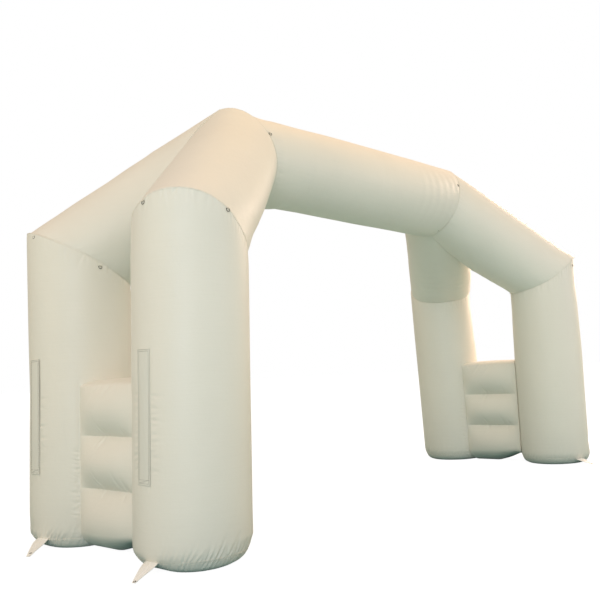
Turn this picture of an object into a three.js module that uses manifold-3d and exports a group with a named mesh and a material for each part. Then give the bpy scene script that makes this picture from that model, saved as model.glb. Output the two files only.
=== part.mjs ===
// Inflatable arch: four leg tubes, four sloping rafter tubes and one ridge tube, with a low quilted wall
// between the two legs at each end, anchor tabs at the feet and D-rings on the seams.
// Millimetres, +Z up, +X along the ridge. The origin is under the middle of the arch, on the ground.
import * as THREE from 'three';
import { mergeVertices } from 'three/addons/utils/BufferGeometryUtils.js';
import Module from 'manifold-3d';

const wasm = await Module();
wasm.setup();

// Tubes and where their axes run
const TUBE_RADIUS = 500;
const LEG_TOP_X = 3450;          // leg axis to the middle of the arch, at the shoulder
const LEG_TOP_Y = 917.5;
const LEG_SPLAY_X = 70;          // the foot stands this much further out than the shoulder
const LEG_SPLAY_Y = -46;         // and this much nearer to its neighbour
const SHOULDER_HEIGHT = 2821;    // where a leg's axis meets its rafter's
const CROWN_X = 2023;            // where two rafters' axes meet the ridge tube's
const BEAM_HEIGHT = 3956;
const TUBE_FACETS = 36;
const GAP = 0.3;                 // between pieces that touch
const MERGE_DISTANCE = 0.001;

// Seams draw the cloth in: how far along the tube, and how much smaller its radius is there
const SEAM_ROWS = [
  { inset: 0, drawn: 14 },
  { inset: 16, drawn: 5 },
  { inset: 60, drawn: 0 },
];

// The foot of a leg, from its flat contact patch up to the seam where the side wall starts
const BASE_HEIGHT = 90;
const BASE_ROWS = [
  { inset: 0, drawn: 112 },
  { inset: 9, drawn: 84 },
  { inset: 32, drawn: 48 },
  { inset: 62, drawn: 26 },
];
const BASE_SEAM_ROWS = [{ inset: 0, drawn: 18 }];
const LEG_FOOT_ROWS = [
  { inset: 0, drawn: 18 },
  { inset: 22, drawn: 8 },
  { inset: 75, drawn: 0 },
];

// Base walls: three channels sewn one above the other
const WALL_CHANNELS = [
  { bottom: 0, top: 559 },
  { bottom: 559, top: 1043 },
  { bottom: 1043, top: 1570 },
];
const WALL_SEAM_HALF = 255;      // half the thickness at a seam
const WALL_BULGE = 66;           // how much further out a channel stands at mid height, mid span
const WALL_END_BULGE = 18;       // the same where the wall is sewn to the legs
const WALL_CHANNEL_STEPS = 5;
const WALL_ROUNDNESS = 0.7;      // how full a channel is near its seams: lower is fuller
const WALL_ROUND_SHARES = [0, 0.08, 0.3, 0.62, 1];
// The rounded bottom and top edges: how high the rounding is, and half the width of the strip it ends in
const WALL_FOOT_EDGE = { rise: 170, half: 80 };
const WALL_TOP_EDGE = { rise: 85, half: 20 };
const WALL_TOP_DIP = 26;         // the top edge is this much lower at the legs
const WALL_STATIONS = [-520, -430, -340, -200, 0, 200, 340, 430, 520];
const WALL_FREE_HALF = 450;      // half the free span between the legs

// Outer flap of each leg: a long strip stitched round its edge
const FLAP_HALF_ANGLE = 9.3;
const FLAP_BOTTOM = 675;
const FLAP_TOP = 1775;
const FLAP_COLUMNS = 4;
const FLAP_ROWS = 4;
const SHEET_THICKNESS = 3;

// Anchor tabs: a triangle of cloth sewn into the foot seam, with an eyelet near its tip.
// azimuth is where it is sewn, heading is the way it lies on the ground, both from +X towards +Y.
const ANCHOR_TABS = [
  { leg: 'front_left', azimuth: -174, heading: -152, length: 290, eyeletInset: 18 },
  { leg: 'back_left', azimuth: -170, heading: -140, length: 340, eyeletInset: 62 },
  { leg: 'front_right', azimuth: -110, heading: -110, length: 235, eyeletInset: 22 },
  { leg: 'back_right', azimuth: 10, heading: 15, length: 300, eyeletInset: 22 },
];
const TAB_HALF_WIDTH = 76;
const TAB_TIP_HALF_WIDTH = 15;
const TAB_THICKNESS = 2.5;
const TAB_ROOT_HEIGHT = 82;      // middle of the cloth where it leaves the foot seam
const TAB_ROOT_RADIUS = 480.6;   // and how far from the leg's axis it starts
const TAB_TIP_HEIGHT = 8;        // middle of the cloth above the ground at the tip
const TAB_RIDGE = 9;             // height of the lengthwise fold where the tab is sewn on
const TAB_ROWS = 6;
const TAB_COLUMNS = [-1, -0.5, 0, 0.5, 1];
const TAB_TURN_SHARE = 1 / 3;    // the cloth has turned from its sewn edge to its heading by this share
const TAB_FLAT_SHARE = 0.68;     // the fold has died out by this share of the length
const EYELET = { bore: 5.5, neck: 7.2, flange: 12, lip: 1.2, facets: 14 };

// D-rings on webbing loops, at the seams. On a leg the azimuth is from +X towards +Y;
// on the ridge tube the angle is from the top towards the front.
const LEG_RINGS = [
  { leg: 'front_left', azimuth: 180 },
  { leg: 'front_left', azimuth: -90 },
  { leg: 'back_left', azimuth: 180 },
  { leg: 'back_left', azimuth: 160 },
  { leg: 'back_left', azimuth: -97 },
  { leg: 'front_right', azimuth: 0 },
  { leg: 'front_right', azimuth: -90 },
  { leg: 'back_right', azimuth: 0 },
];
const BEAM_RINGS = [
  { end: 'left', angle: 70 },
  { end: 'left', angle: 160 },
  { end: 'right', angle: 70 },
  { end: 'right', angle: 160 },
];
const RING = { wireRadius: 2.5, halfWidth: 17.5, shank: 9, arcSteps: 8, sides: 6 };
const STRAP = { width: 24, thickness: 3, tail: 13, bevel: 6, eyeSteps: 5, holeFacets: 8 };
const SEAM_TO_BAR = 30;          // from the seam along the cloth to the ring's straight bar

const CLOTH = { color: 0xe4dcc9, roughness: 0.55, metalness: 0 };
const WEBBING = { color: 0xd8d1bf, roughness: 0.8, metalness: 0 };
const STEEL = { color: 0x6e6a62, roughness: 0.4, metalness: 0.9 };

const UP = new THREE.Vector3(0, 0, 1);
const CORNERS = ['front_left', 'back_left', 'front_right', 'back_right'];
const signX = (corner) => (corner.endsWith('left') ? -1 : 1);
const signY = (corner) => (corner.startsWith('front') ? -1 : 1);

const arch = new THREE.Group();
const pieces = new THREE.Group();
arch.add(pieces);

function addNode(name, geometry, finish, place = new THREE.Matrix4()) {
  const mesh = new THREE.Mesh(geometry, new THREE.MeshStandardMaterial(finish));
  mesh.name = name;
  mesh.applyMatrix4(place);
  pieces.add(mesh);
}

function meshFrom(vertices, triangles) {
  const geometry = new THREE.BufferGeometry();
  const numbers = vertices.flatMap((vertex) => vertex.toArray());
  geometry.setAttribute('position', new THREE.Float32BufferAttribute(numbers, 3));
  geometry.setIndex(triangles.flat());
  if (signedVolume(vertices, triangles) < 0) {
    geometry.setIndex(triangles.flatMap(([a, b, c]) => [a, c, b]));
  }
  return geometry;
}

function signedVolume(vertices, triangles) {
  return triangles.reduce((sum, [a, b, c]) => {
    const cross = new THREE.Vector3().crossVectors(vertices[b], vertices[c]);
    return sum + vertices[a].dot(cross);
  }, 0);
}

// A closed solid through rings of points, all with the same count, fanned shut at both ends
function loft(rings, startCentre, endCentre) {
  const count = rings[0].length;
  const vertices = [...rings.flat(), startCentre, endCentre];
  const startIndex = rings.length * count;
  const lastRing = startIndex - count;
  const triangles = [];
  for (let i = 0; i < count; i += 1) {
    const next = (i + 1) % count;
    for (let row = 0; row < lastRing; row += count) {
      triangles.push([row + i, row + next, row + count + next]);
      triangles.push([row + i, row + count + next, row + count + i]);
    }
    triangles.push([startIndex, next, i]);
    triangles.push([startIndex + 1, lastRing + i, lastRing + next]);
  }
  return meshFrom(vertices, triangles);
}

// A closed solid between two matching grids of points, such as the two faces of a sheet
function sheetSolid(front, back) {
  const rows = front.length;
  const columns = front[0].length;
  const vertices = [...front.flat(), ...back.flat()];
  const at = (r, c) => r * columns + c;
  const behind = (r, c) => rows * columns + at(r, c);
  const triangles = [];
  const quad = (a, b, c, d) => triangles.push([a, b, c], [a, c, d]);
  for (let r = 0; r < rows - 1; r += 1) {
    for (let c = 0; c < columns - 1; c += 1) {
      quad(at(r, c), at(r, c + 1), at(r + 1, c + 1), at(r + 1, c));
      quad(behind(r, c), behind(r + 1, c), behind(r + 1, c + 1), behind(r, c + 1));
    }
  }
  const lastRow = rows - 1;
  const lastColumn = columns - 1;
  for (let r = 0; r < lastRow; r += 1) {
    quad(at(r, 0), at(r + 1, 0), behind(r + 1, 0), behind(r, 0));
    quad(at(r + 1, lastColumn), at(r, lastColumn), behind(r, lastColumn), behind(r + 1, lastColumn));
  }
  for (let c = 0; c < lastColumn; c += 1) {
    quad(at(0, c + 1), at(0, c), behind(0, c), behind(0, c + 1));
    quad(at(lastRow, c), at(lastRow, c + 1), behind(lastRow, c + 1), behind(lastRow, c));
  }
  return meshFrom(vertices, triangles);
}

function toSolid(geometry) {
  const bare = geometry.clone();
  bare.deleteAttribute('normal');
  bare.deleteAttribute('uv');
  const merged = mergeVertices(bare, MERGE_DISTANCE);
  const vertProperties = new Float32Array(merged.attributes.position.array);
  const triVerts = new Uint32Array(merged.index.array);
  return new wasm.Manifold(new wasm.Mesh({ numProp: 3, vertProperties, triVerts }));
}

function fromSolid(solid) {
  const mesh = solid.getMesh();
  const geometry = new THREE.BufferGeometry();
  geometry.setAttribute('position', new THREE.BufferAttribute(new Float32Array(mesh.vertProperties), 3));
  geometry.setIndex(new THREE.BufferAttribute(new Uint32Array(mesh.triVerts), 1));
  return geometry;
}

function cut(geometry, ...tools) {
  return fromSolid(tools.reduce((solid, tool) => solid.subtract(toSolid(tool)), toSolid(geometry)));
}

// Tubes ------------------------------------------------------------------------------------------

// A tube's axis with two directions across it; angle 0 is along `zero`
function tubeFrame(start, end, zero) {
  const along = end.clone().sub(start).normalize();
  const across = zero.clone().addScaledVector(along, -zero.dot(along)).normalize();
  const side = new THREE.Vector3().crossVectors(along, across);
  const radial = (angle) => across.clone().multiplyScalar(Math.cos(angle))
    .addScaledVector(side, Math.sin(angle));
  return { start, along, across, side, radial };
}

// How far along the axis the line at this angle and radius meets a plane
function reach(frame, plane, angle, radius) {
  const origin = frame.start.clone().addScaledVector(frame.radial(angle), radius);
  return plane.point.clone().sub(origin).dot(plane.normal) / frame.along.dot(plane.normal);
}

function pointOn(frame, angle, radius, distance) {
  return frame.start.clone().addScaledVector(frame.radial(angle), radius)
    .addScaledVector(frame.along, distance);
}

// Regular facet angles, with the two nearest ones moved onto the crease where two end planes meet
function facetAngles(frame, planes) {
  const angles = Array.from({ length: TUBE_FACETS }, (_, i) => (i * 2 * Math.PI) / TUBE_FACETS);
  if (planes.length < 2) {
    return angles;
  }
  const crease = new THREE.Vector3().crossVectors(planes[0].normal, planes[1].normal);
  const towards = Math.atan2(crease.dot(frame.side), crease.dot(frame.across));
  const facet = (2 * Math.PI) / TUBE_FACETS;
  for (const angle of [towards, towards + Math.PI]) {
    const turn = THREE.MathUtils.euclideanModulo(angle, 2 * Math.PI);
    angles[Math.round(turn / facet) % TUBE_FACETS] = turn;
  }
  return angles;
}

// A filled tube between end planes. Planes lie half a gap inside each end, and the rows at each end
// say how the seam draws it in.
function tube(frame, startPlanes, endPlanes, startRows, endRows) {
  const angles = facetAngles(frame, startPlanes.length > 1 ? startPlanes : endPlanes);
  const reaches = (planes, angle, radius) => planes.map((plane) => reach(frame, plane, angle, radius));
  const startAt = (angle, radius) => Math.max(...reaches(startPlanes, angle, radius));
  const endAt = (angle, radius) => Math.min(...reaches(endPlanes, angle, radius));
  const slants = [...startPlanes, ...endPlanes].map(({ normal }) => Math.abs(normal.dot(frame.along)));
  const slack = GAP / 2 / Math.min(...slants);
  const rings = [
    ...startRows.map(({ inset, drawn }) => angles.map((angle) => {
      const radius = TUBE_RADIUS - drawn;
      return pointOn(frame, angle, radius, startAt(angle, radius) + inset + slack);
    })),
    ...endRows.toReversed().map(({ inset, drawn }) => angles.map((angle) => {
      const radius = TUBE_RADIUS - drawn;
      return pointOn(frame, angle, radius, endAt(angle, radius) - inset - slack);
    })),
  ];
  const startCentre = pointOn(frame, 0, 0, startAt(0, 0) + slack);
  const endCentre = pointOn(frame, 0, 0, endAt(0, 0) - slack);
  return loft(rings, startCentre, endCentre);
}

const shoulder = (corner) => new THREE.Vector3(
  signX(corner) * LEG_TOP_X, signY(corner) * LEG_TOP_Y, SHOULDER_HEIGHT,
);
const foot = (corner) => new THREE.Vector3(
  signX(corner) * (LEG_TOP_X + LEG_SPLAY_X), signY(corner) * (LEG_TOP_Y + LEG_SPLAY_Y), 0,
);
const crown = (side) => new THREE.Vector3(side * CROWN_X, 0, BEAM_HEIGHT);

const X_AXIS = new THREE.Vector3(1, 0, 0);
const legFrame = (corner) => tubeFrame(foot(corner), shoulder(corner), X_AXIS);
const rafterFrame = (corner) => tubeFrame(shoulder(corner), crown(signX(corner)), UP);
const beamFrame = tubeFrame(crown(-1), crown(1), UP);

// The plane that halves the bend between two tubes
const mitre = (point, before, after) => ({ point, normal: before.clone().add(after).normalize() });
const level = (height) => ({ point: new THREE.Vector3(0, 0, height), normal: UP });

function shoulderPlane(corner) {
  return mitre(shoulder(corner), legFrame(corner).along, rafterFrame(corner).along);
}

function crownPlane(corner) {
  const inwards = new THREE.Vector3(-signX(corner), 0, 0);
  return mitre(crown(signX(corner)), rafterFrame(corner).along, inwards);
}

function addTubes() {
  for (const corner of CORNERS) {
    const frame = legFrame(corner);
    const ground = level(-GAP / 2);
    const footSeam = level(BASE_HEIGHT);
    const base = tube(frame, [ground], [footSeam], BASE_ROWS, BASE_SEAM_ROWS);
    const leg = tube(frame, [footSeam], [shoulderPlane(corner)], LEG_FOOT_ROWS, SEAM_ROWS);
    addNode(`base_${corner}`, base, CLOTH);
    addNode(`leg_${corner}`, leg, CLOTH);
    const betweenRafters = { point: new THREE.Vector3(), normal: new THREE.Vector3(0, -signY(corner), 0) };
    const rafterEnds = [crownPlane(corner), betweenRafters];
    const rafter = tube(rafterFrame(corner), [shoulderPlane(corner)], rafterEnds, SEAM_ROWS, SEAM_ROWS);
    addNode(`rafter_${corner}`, rafter, CLOTH);
  }
  const leftEnds = [crownPlane('front_left'), crownPlane('back_left')];
  const rightEnds = [crownPlane('front_right'), crownPlane('back_right')];
  addNode('beam', tube(beamFrame, leftEnds, rightEnds, SEAM_ROWS, SEAM_ROWS), CLOTH);
}

// Walls ------------------------------------------------------------------------------------------

const WALL_CREST = WALL_CHANNELS.at(-1).top;
const legAxisAt = (corner, height) => foot(corner).lerp(shoulder(corner), height / SHOULDER_HEIGHT);

// Half the wall's thickness at a height, at a place along its span
function wallHalf(height, fullness) {
  const channel = WALL_CHANNELS.find(({ top }) => height <= top);
  const share = (height - channel.bottom) / (channel.top - channel.bottom);
  const bulge = WALL_END_BULGE + (WALL_BULGE - WALL_END_BULGE) * fullness;
  return WALL_SEAM_HALF + bulge * Math.sin(Math.PI * share) ** WALL_ROUNDNESS;
}

// Quarter-round edges at the top and the bottom: 0 at the very edge, 1 from the end of the rounding inwards
const edgeRound = (depth, rise) => Math.sqrt(1 - (1 - Math.min(depth / rise, 1)) ** 2);

function wallHeights() {
  const inner = WALL_CHANNELS.flatMap(({ bottom, top }) => Array.from(
    { length: WALL_CHANNEL_STEPS }, (_, i) => bottom + ((top - bottom) * i) / WALL_CHANNEL_STEPS,
  ));
  const [footEnd, topEnd] = [WALL_FOOT_EDGE.rise, WALL_CREST - WALL_TOP_EDGE.rise];
  const plain = inner.filter((height) => height > footEnd && height < topEnd);
  const edge = ({ rise }) => WALL_ROUND_SHARES.map((share) => share * rise);
  const top = edge(WALL_TOP_EDGE).map((depth) => WALL_CREST - depth).reverse();
  return [...edge(WALL_FOOT_EDGE), ...plain, ...top];
}

function wallRing(side, y) {
  const corner = side < 0 ? 'front_left' : 'front_right';
  const topChannel = WALL_CHANNELS.at(-1);
  const nearness = Math.min(Math.abs(y) / WALL_FREE_HALF, 1);
  const fullness = 1 - nearness ** 3;
  const outline = wallHeights().map((height) => {
    const edge = height < WALL_CREST / 2 ? WALL_FOOT_EDGE : WALL_TOP_EDGE;
    const round = edgeRound(Math.min(height, WALL_CREST - height), edge.rise);
    const half = edge.half + (wallHalf(height, fullness) - edge.half) * round;
    const rise = Math.max(0, (height - topChannel.bottom) / (topChannel.top - topChannel.bottom));
    return { half, height: height - WALL_TOP_DIP * nearness ** 2 * rise };
  });
  const place = (offset, height) => new THREE.Vector3(legAxisAt(corner, height).x + offset, y, height);
  return [
    ...outline.map(({ half, height }) => place(half, height)),
    ...outline.toReversed().map(({ half, height }) => place(-half, height)),
  ];
}

// A plain cylinder a gap larger than the leg, for cutting the wall's ends to it
function legClearance(corner) {
  const frame = legFrame(corner);
  const ring = (height) => Array.from({ length: TUBE_FACETS }, (_, i) => {
    return pointOn(frame, (i * 2 * Math.PI) / TUBE_FACETS, TUBE_RADIUS + GAP, height);
  });
  const bottom = -TUBE_RADIUS;
  const top = SHOULDER_HEIGHT;
  return loft([ring(bottom), ring(top)], pointOn(frame, 0, 0, bottom), pointOn(frame, 0, 0, top));
}

function addWall(name, side) {
  const rings = WALL_STATIONS.map((y) => wallRing(side, y));
  const corners = CORNERS.filter((corner) => signX(corner) === side);
  const centre = (y) => legAxisAt(corners[0], WALL_CREST / 2).setY(y);
  const uncut = loft(rings, centre(WALL_STATIONS[0]), centre(WALL_STATIONS.at(-1)));
  addNode(name, cut(uncut, ...corners.map(legClearance)), CLOTH);
}

// Flaps ------------------------------------------------------------------------------------------

function addFlap(corner) {
  const frame = legFrame(corner);
  const outward = signX(corner) < 0 ? 180 : 0;
  const grid = (radius) => Array.from({ length: FLAP_ROWS + 1 }, (_, r) => {
    const height = FLAP_BOTTOM + ((FLAP_TOP - FLAP_BOTTOM) * r) / FLAP_ROWS;
    return Array.from({ length: FLAP_COLUMNS + 1 }, (__, c) => {
      const angle = outward + FLAP_HALF_ANGLE * ((2 * c) / FLAP_COLUMNS - 1);
      return pointOn(frame, THREE.MathUtils.degToRad(angle), radius, height);
    });
  });
  const inner = TUBE_RADIUS + GAP;
  addNode(`flap_${corner}`, sheetSolid(grid(inner + SHEET_THICKNESS), grid(inner)), CLOTH);
}

// Anchor tabs ------------------------------------------------------------------------------------

// How far a faceted ring of this radius reaches in a direction
function facetReach(radius, azimuth) {
  const facet = 360 / TUBE_FACETS;
  const offset = Math.abs(THREE.MathUtils.euclideanModulo(azimuth + facet / 2, facet) - facet / 2);
  return radius * Math.cos(THREE.MathUtils.degToRad(offset));
}

function addAnchor({ leg, azimuth, heading, length, eyeletInset }) {
  const sewn = THREE.MathUtils.degToRad(azimuth);
  const lie = THREE.MathUtils.degToRad(heading);
  const outwards = new THREE.Vector3(Math.cos(sewn), Math.sin(sewn), 0);
  const ahead = new THREE.Vector3(Math.cos(lie), Math.sin(lie), 0);
  const root = legAxisAt(leg, TAB_ROOT_HEIGHT)
    .addScaledVector(outwards, facetReach(TAB_ROOT_RADIUS, azimuth));
  const sewnEdge = new THREE.Vector3(-outwards.y, outwards.x, 0);
  const tipSide = new THREE.Vector3(-ahead.y, ahead.x, 0);
  const drop = root.z - TAB_TIP_HEIGHT;
  const run = Math.sqrt(length ** 2 - drop ** 2);
  const slope = Math.atan2(drop, run);
  const normal = ahead.clone().multiplyScalar(Math.sin(slope)).addScaledVector(UP, Math.cos(slope));
  const middlePoint = (share) => root.clone().addScaledVector(ahead, run * share)
    .addScaledVector(UP, -drop * share);
  const face = (offset) => Array.from({ length: TAB_ROWS + 1 }, (_, r) => {
    const share = r / TAB_ROWS;
    const half = TAB_HALF_WIDTH + (TAB_TIP_HALF_WIDTH - TAB_HALF_WIDTH) * share;
    const across = sewnEdge.clone().lerp(tipSide, Math.min(1, share / TAB_TURN_SHARE)).normalize();
    const fold = TAB_RIDGE * Math.max(0, 1 - share / TAB_FLAT_SHARE);
    return TAB_COLUMNS.map((place) => middlePoint(share)
      .addScaledVector(across, place * half)
      .addScaledVector(normal, offset + fold * (0.5 - Math.abs(place))));
  });
  const sheet = sheetSolid(face(TAB_THICKNESS / 2), face(-TAB_THICKNESS / 2));
  const hole = middlePoint(1 - eyeletInset / length);
  const turn = new THREE.Quaternion().setFromUnitVectors(new THREE.Vector3(0, 1, 0), normal);
  const eyeletPlace = new THREE.Matrix4().makeRotationFromQuaternion(turn).setPosition(hole);
  const drillRadius = EYELET.neck + GAP;
  const drill = new THREE.CylinderGeometry(drillRadius, drillRadius, TAB_THICKNESS * 8, EYELET.facets);
  addNode(`anchor_tab_${leg}`, cut(sheet, drill.applyMatrix4(eyeletPlace)), CLOTH);
  const inner = TAB_THICKNESS / 2 + GAP;
  const outer = inner + EYELET.lip;
  const { bore, neck, flange } = EYELET;
  const profile = [
    [bore, -outer], [flange, -outer], [flange, -inner], [neck, -inner],
    [neck, inner], [flange, inner], [flange, outer], [bore, outer], [bore, -outer],
  ].map(([radius, height]) => new THREE.Vector2(radius, height));
  addNode(`anchor_eyelet_${leg}`, new THREE.LatheGeometry(profile, EYELET.facets), STEEL, eyeletPlace);
}

// D-rings ----------------------------------------------------------------------------------------

// The ring's centre line in its own plane: a straight bar along x and a half circle below it
function ringPath() {
  const { halfWidth, shank, arcSteps } = RING;
  const arc = Array.from({ length: arcSteps + 1 }, (_, i) => {
    const turn = (Math.PI * i) / arcSteps;
    return new THREE.Vector2(halfWidth * Math.cos(turn), -shank - halfWidth * Math.sin(turn));
  });
  return [new THREE.Vector2(-halfWidth, 0), new THREE.Vector2(0, 0), new THREE.Vector2(halfWidth, 0), ...arc];
}

// A round wire along a closed flat path
function wireLoop(path) {
  const { wireRadius, sides } = RING;
  const rings = path.map((point, i) => {
    const before = path[(i + path.length - 1) % path.length];
    const after = path[(i + 1) % path.length];
    const into = point.clone().sub(before).normalize();
    const out = after.clone().sub(point).normalize();
    const across = new THREE.Vector2(-(into.y + out.y), into.x + out.x).normalize();
    const widen = 1 / across.dot(new THREE.Vector2(-into.y, into.x));
    return Array.from({ length: sides }, (_, k) => {
      const turn = (2 * Math.PI * k) / sides;
      const place = point.clone().addScaledVector(across, wireRadius * Math.cos(turn) * widen);
      return new THREE.Vector3(place.x, place.y, wireRadius * Math.sin(turn));
    });
  });
  const vertices = rings.flat();
  const triangles = rings.flatMap((_, i) => Array.from({ length: sides }, (__, k) => {
    const j = (i + 1) % rings.length;
    const next = (k + 1) % sides;
    const [a, b, c, d] = [i * sides + k, i * sides + next, j * sides + next, j * sides + k];
    return [[a, b, c], [a, c, d]];
  }).flat());
  return meshFrom(vertices, triangles);
}

// The webbing loop in profile: x up along the cloth, y out from it; its eye holds the ring's bar
function strapGeometry() {
  const { width, thickness, tail, bevel, eyeSteps, holeFacets } = STRAP;
  const bore = RING.wireRadius + GAP;
  const eye = bore + thickness / 2;
  const eyeHeight = GAP + eye;
  const outline = new THREE.Shape();
  outline.moveTo(tail, GAP);
  outline.lineTo(0, GAP);
  for (let i = 1; i < eyeSteps; i += 1) {
    const turn = -Math.PI / 2 - (Math.PI * i) / eyeSteps;
    outline.lineTo(eye * Math.cos(turn), eyeHeight + eye * Math.sin(turn));
  }
  outline.lineTo(0, eyeHeight + eye);
  outline.lineTo(bevel, GAP + thickness);
  outline.lineTo(tail, GAP + thickness);
  outline.closePath();
  const hole = new THREE.Path();
  const boreReach = bore / Math.cos(Math.PI / holeFacets);
  for (let i = 0; i < holeFacets; i += 1) {
    const turn = (2 * Math.PI * i) / holeFacets;
    const step = i === 0 ? 'moveTo' : 'lineTo';
    hole[step](boreReach * Math.cos(turn), eyeHeight + boreReach * Math.sin(turn));
  }
  hole.closePath();
  outline.holes.push(hole);
  const extrusion = new THREE.ExtrudeGeometry(outline, { depth: width, bevelEnabled: false, steps: 1 });
  return extrusion.translate(0, 0, -width / 2);
}

const RING_GEOMETRY = wireLoop(ringPath());
const STRAP_GEOMETRY = strapGeometry();

// Where a ring sits: the point of the cloth under its bar, in the sloping band that the seam draws in.
// towardsSeam is 1 where the frame runs up to the seam and -1 where it runs away from it.
function seat(frame, plane, angle, towardsSeam) {
  const [, upper, lower] = SEAM_ROWS;
  const surface = ({ inset, drawn }) => {
    const radius = TUBE_RADIUS - drawn;
    return pointOn(frame, angle, radius, reach(frame, plane, angle, radius) - towardsSeam * inset);
  };
  const low = surface(lower);
  const rise = surface(upper).sub(low).normalize();
  const outwards = frame.radial(angle).addScaledVector(rise, -frame.radial(angle).dot(rise)).normalize();
  return { bar: low.addScaledVector(rise, lower.inset - SEAM_TO_BAR), rise, outwards };
}

// One ring and its loop: rise is the way up the webbing, from the bar
function addRing(number, bar, outwards, rise) {
  const label = String(number).padStart(2, '0');
  const across = new THREE.Vector3().crossVectors(rise, outwards);
  const eyeHeight = 2 * GAP + RING.wireRadius + STRAP.thickness / 2;
  const ringPlace = new THREE.Matrix4().makeBasis(across, rise, outwards)
    .setPosition(bar.clone().addScaledVector(outwards, eyeHeight));
  const strapPlace = new THREE.Matrix4().makeBasis(rise, outwards, across).setPosition(bar);
  addNode(`ring_${label}`, RING_GEOMETRY.clone(), STEEL, ringPlace);
  addNode(`ring_strap_${label}`, STRAP_GEOMETRY.clone(), WEBBING, strapPlace);
}

function addRings() {
  LEG_RINGS.forEach(({ leg, azimuth }, i) => {
    const angle = THREE.MathUtils.degToRad(azimuth);
    const { bar, rise, outwards } = seat(legFrame(leg), shoulderPlane(leg), angle, 1);
    addRing(i + 1, bar, outwards, rise);
  });
  BEAM_RINGS.forEach(({ end, angle }, i) => {
    const side = end === 'left' ? -1 : 1;
    const place = seat(beamFrame, crownPlane(`front_${end}`), THREE.MathUtils.degToRad(angle), side);
    const round = new THREE.Vector3().crossVectors(place.outwards, place.rise);
    addRing(LEG_RINGS.length + i + 1, place.bar, place.outwards, round.multiplyScalar(Math.sign(round.z)));
  });
}

addTubes();
addWall('wall_left', -1);
addWall('wall_right', 1);
CORNERS.forEach(addFlap);
ANCHOR_TABS.forEach(addAnchor);
addRings();

// Stand the origin under the middle of the whole arch, tabs included
const middle = new THREE.Box3().setFromObject(pieces).getCenter(new THREE.Vector3());
pieces.position.set(-middle.x, -middle.y, 0);

export default arch;
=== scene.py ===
"""Inflatable arch: the cloth skins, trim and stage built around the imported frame.

Run as a script. Metres, +Z up, +X along the ridge tube, the origin on the ground under the middle.
"""

import math

import bpy
import numpy as np
from mathutils import Matrix, Vector


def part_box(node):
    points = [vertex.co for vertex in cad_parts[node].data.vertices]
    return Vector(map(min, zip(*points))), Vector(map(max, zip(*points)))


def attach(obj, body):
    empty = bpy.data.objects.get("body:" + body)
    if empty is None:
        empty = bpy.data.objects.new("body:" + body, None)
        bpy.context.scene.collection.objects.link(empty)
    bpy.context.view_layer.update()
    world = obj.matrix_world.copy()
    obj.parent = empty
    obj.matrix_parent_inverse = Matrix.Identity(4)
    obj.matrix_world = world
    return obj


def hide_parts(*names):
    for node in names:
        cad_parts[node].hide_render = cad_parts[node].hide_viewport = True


bl_info = {
    "name": "Inflatable Arch",
    "version": (1, 0, 0),
    "blender": (4, 5, 0),
    "location": "View3D > Sidebar > Arch",
    "description": "Builds the cloth skins, trim and stage of an inflatable arch",
    "category": "Object",
}

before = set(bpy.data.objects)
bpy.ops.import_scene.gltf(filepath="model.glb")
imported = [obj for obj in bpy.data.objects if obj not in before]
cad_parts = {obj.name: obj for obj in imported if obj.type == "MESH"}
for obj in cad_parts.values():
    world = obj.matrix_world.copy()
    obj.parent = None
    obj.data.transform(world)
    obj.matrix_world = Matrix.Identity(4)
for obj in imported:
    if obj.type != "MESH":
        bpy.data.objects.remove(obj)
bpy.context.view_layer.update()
BODY = "root"


def table(columns, *rows):
    """Rows under named columns, as dicts"""
    return [dict(zip(columns.split(), row)) for row in rows]


def named(columns, **rows):
    """The same, each row with a name of its own"""
    return {name: dict(zip(columns.split(), row)) for name, row in rows.items()}


# ---------------------------------------------------------------- places taken from the frame

BEAM_LOW, BEAM_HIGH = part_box("beam")
TUBE_RADIUS = (BEAM_HIGH.z - BEAM_LOW.z) / 2
BEAM_HEIGHT = (BEAM_HIGH.z + BEAM_LOW.z) / 2
MIDDLE = np.array([(BEAM_LOW.x + BEAM_HIGH.x) / 2, (BEAM_LOW.y + BEAM_HIGH.y) / 2, 0.0])
WALL_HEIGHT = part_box("wall_left")[1].z
BASE_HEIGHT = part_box("base_front_left")[1].z

# Where the tubes' axes run, from the middle of the arch
LEG_TOP = np.array([3.45, 0.9175, 2.821])
LEG_FOOT = np.array([3.52, 0.8715, 0.0])
CROWN_X = 2.023

UP = np.array([0.0, 0.0, 1.0])
X_AXIS = np.array([1.0, 0.0, 0.0])
FULL_TURN = 2 * math.pi
CLEARANCE = 0.0003               # between pieces that touch

CORNERS = {"front_left": (-1, -1), "back_left": (-1, 1), "front_right": (1, -1), "back_right": (1, 1)}

# ---------------------------------------------------------------- how the cloth is drawn and creased

SEAM_REACH = 0.014               # the dip at a seam has mostly risen again this far away
ELBOW_REACH = 0.42               # how far up a rafter the slack at its elbow reaches

# How far each shoulder seam runs above or below its mitre plane, round the leg
SHOULDER_SEAMS = {
    "front_left": table(
        "azimuth rise",
        (-170, 0.006), (-140, 0.01), (-115, 0.011), (-105, 0.0), (-93, -0.014), (-86, -0.026), (-78, -0.062),
        (-69, -0.082), (-48, -0.098), (-20, -0.07), (20, -0.03), (90, 0.004), (150, -0.006), (175, -0.012)),
    "back_left": table(
        "azimuth rise",
        (-145, -0.004), (-130, 0.005), (-114, 0.009), (-99, 0.018), (-81, 0.003), (-48, -0.014), (0, -0.04),
        (60, -0.02), (150, 0.004)),
    "front_right": table(
        "azimuth rise",
        (151, 0.009), (-176, -0.005), (-159, -0.009), (-142, -0.022), (-112, 0.02), (-90, 0.05), (-60, 0.02),
        (20, 0.004), (90, 0.0)),
    "back_right": table(
        "azimuth rise",
        (157, -0.019), (-169, -0.005), (-150, -0.002), (-131, 0.009), (-97, -0.037), (-40, -0.01),
        (40, 0.006), (110, -0.006)),
}

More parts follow.
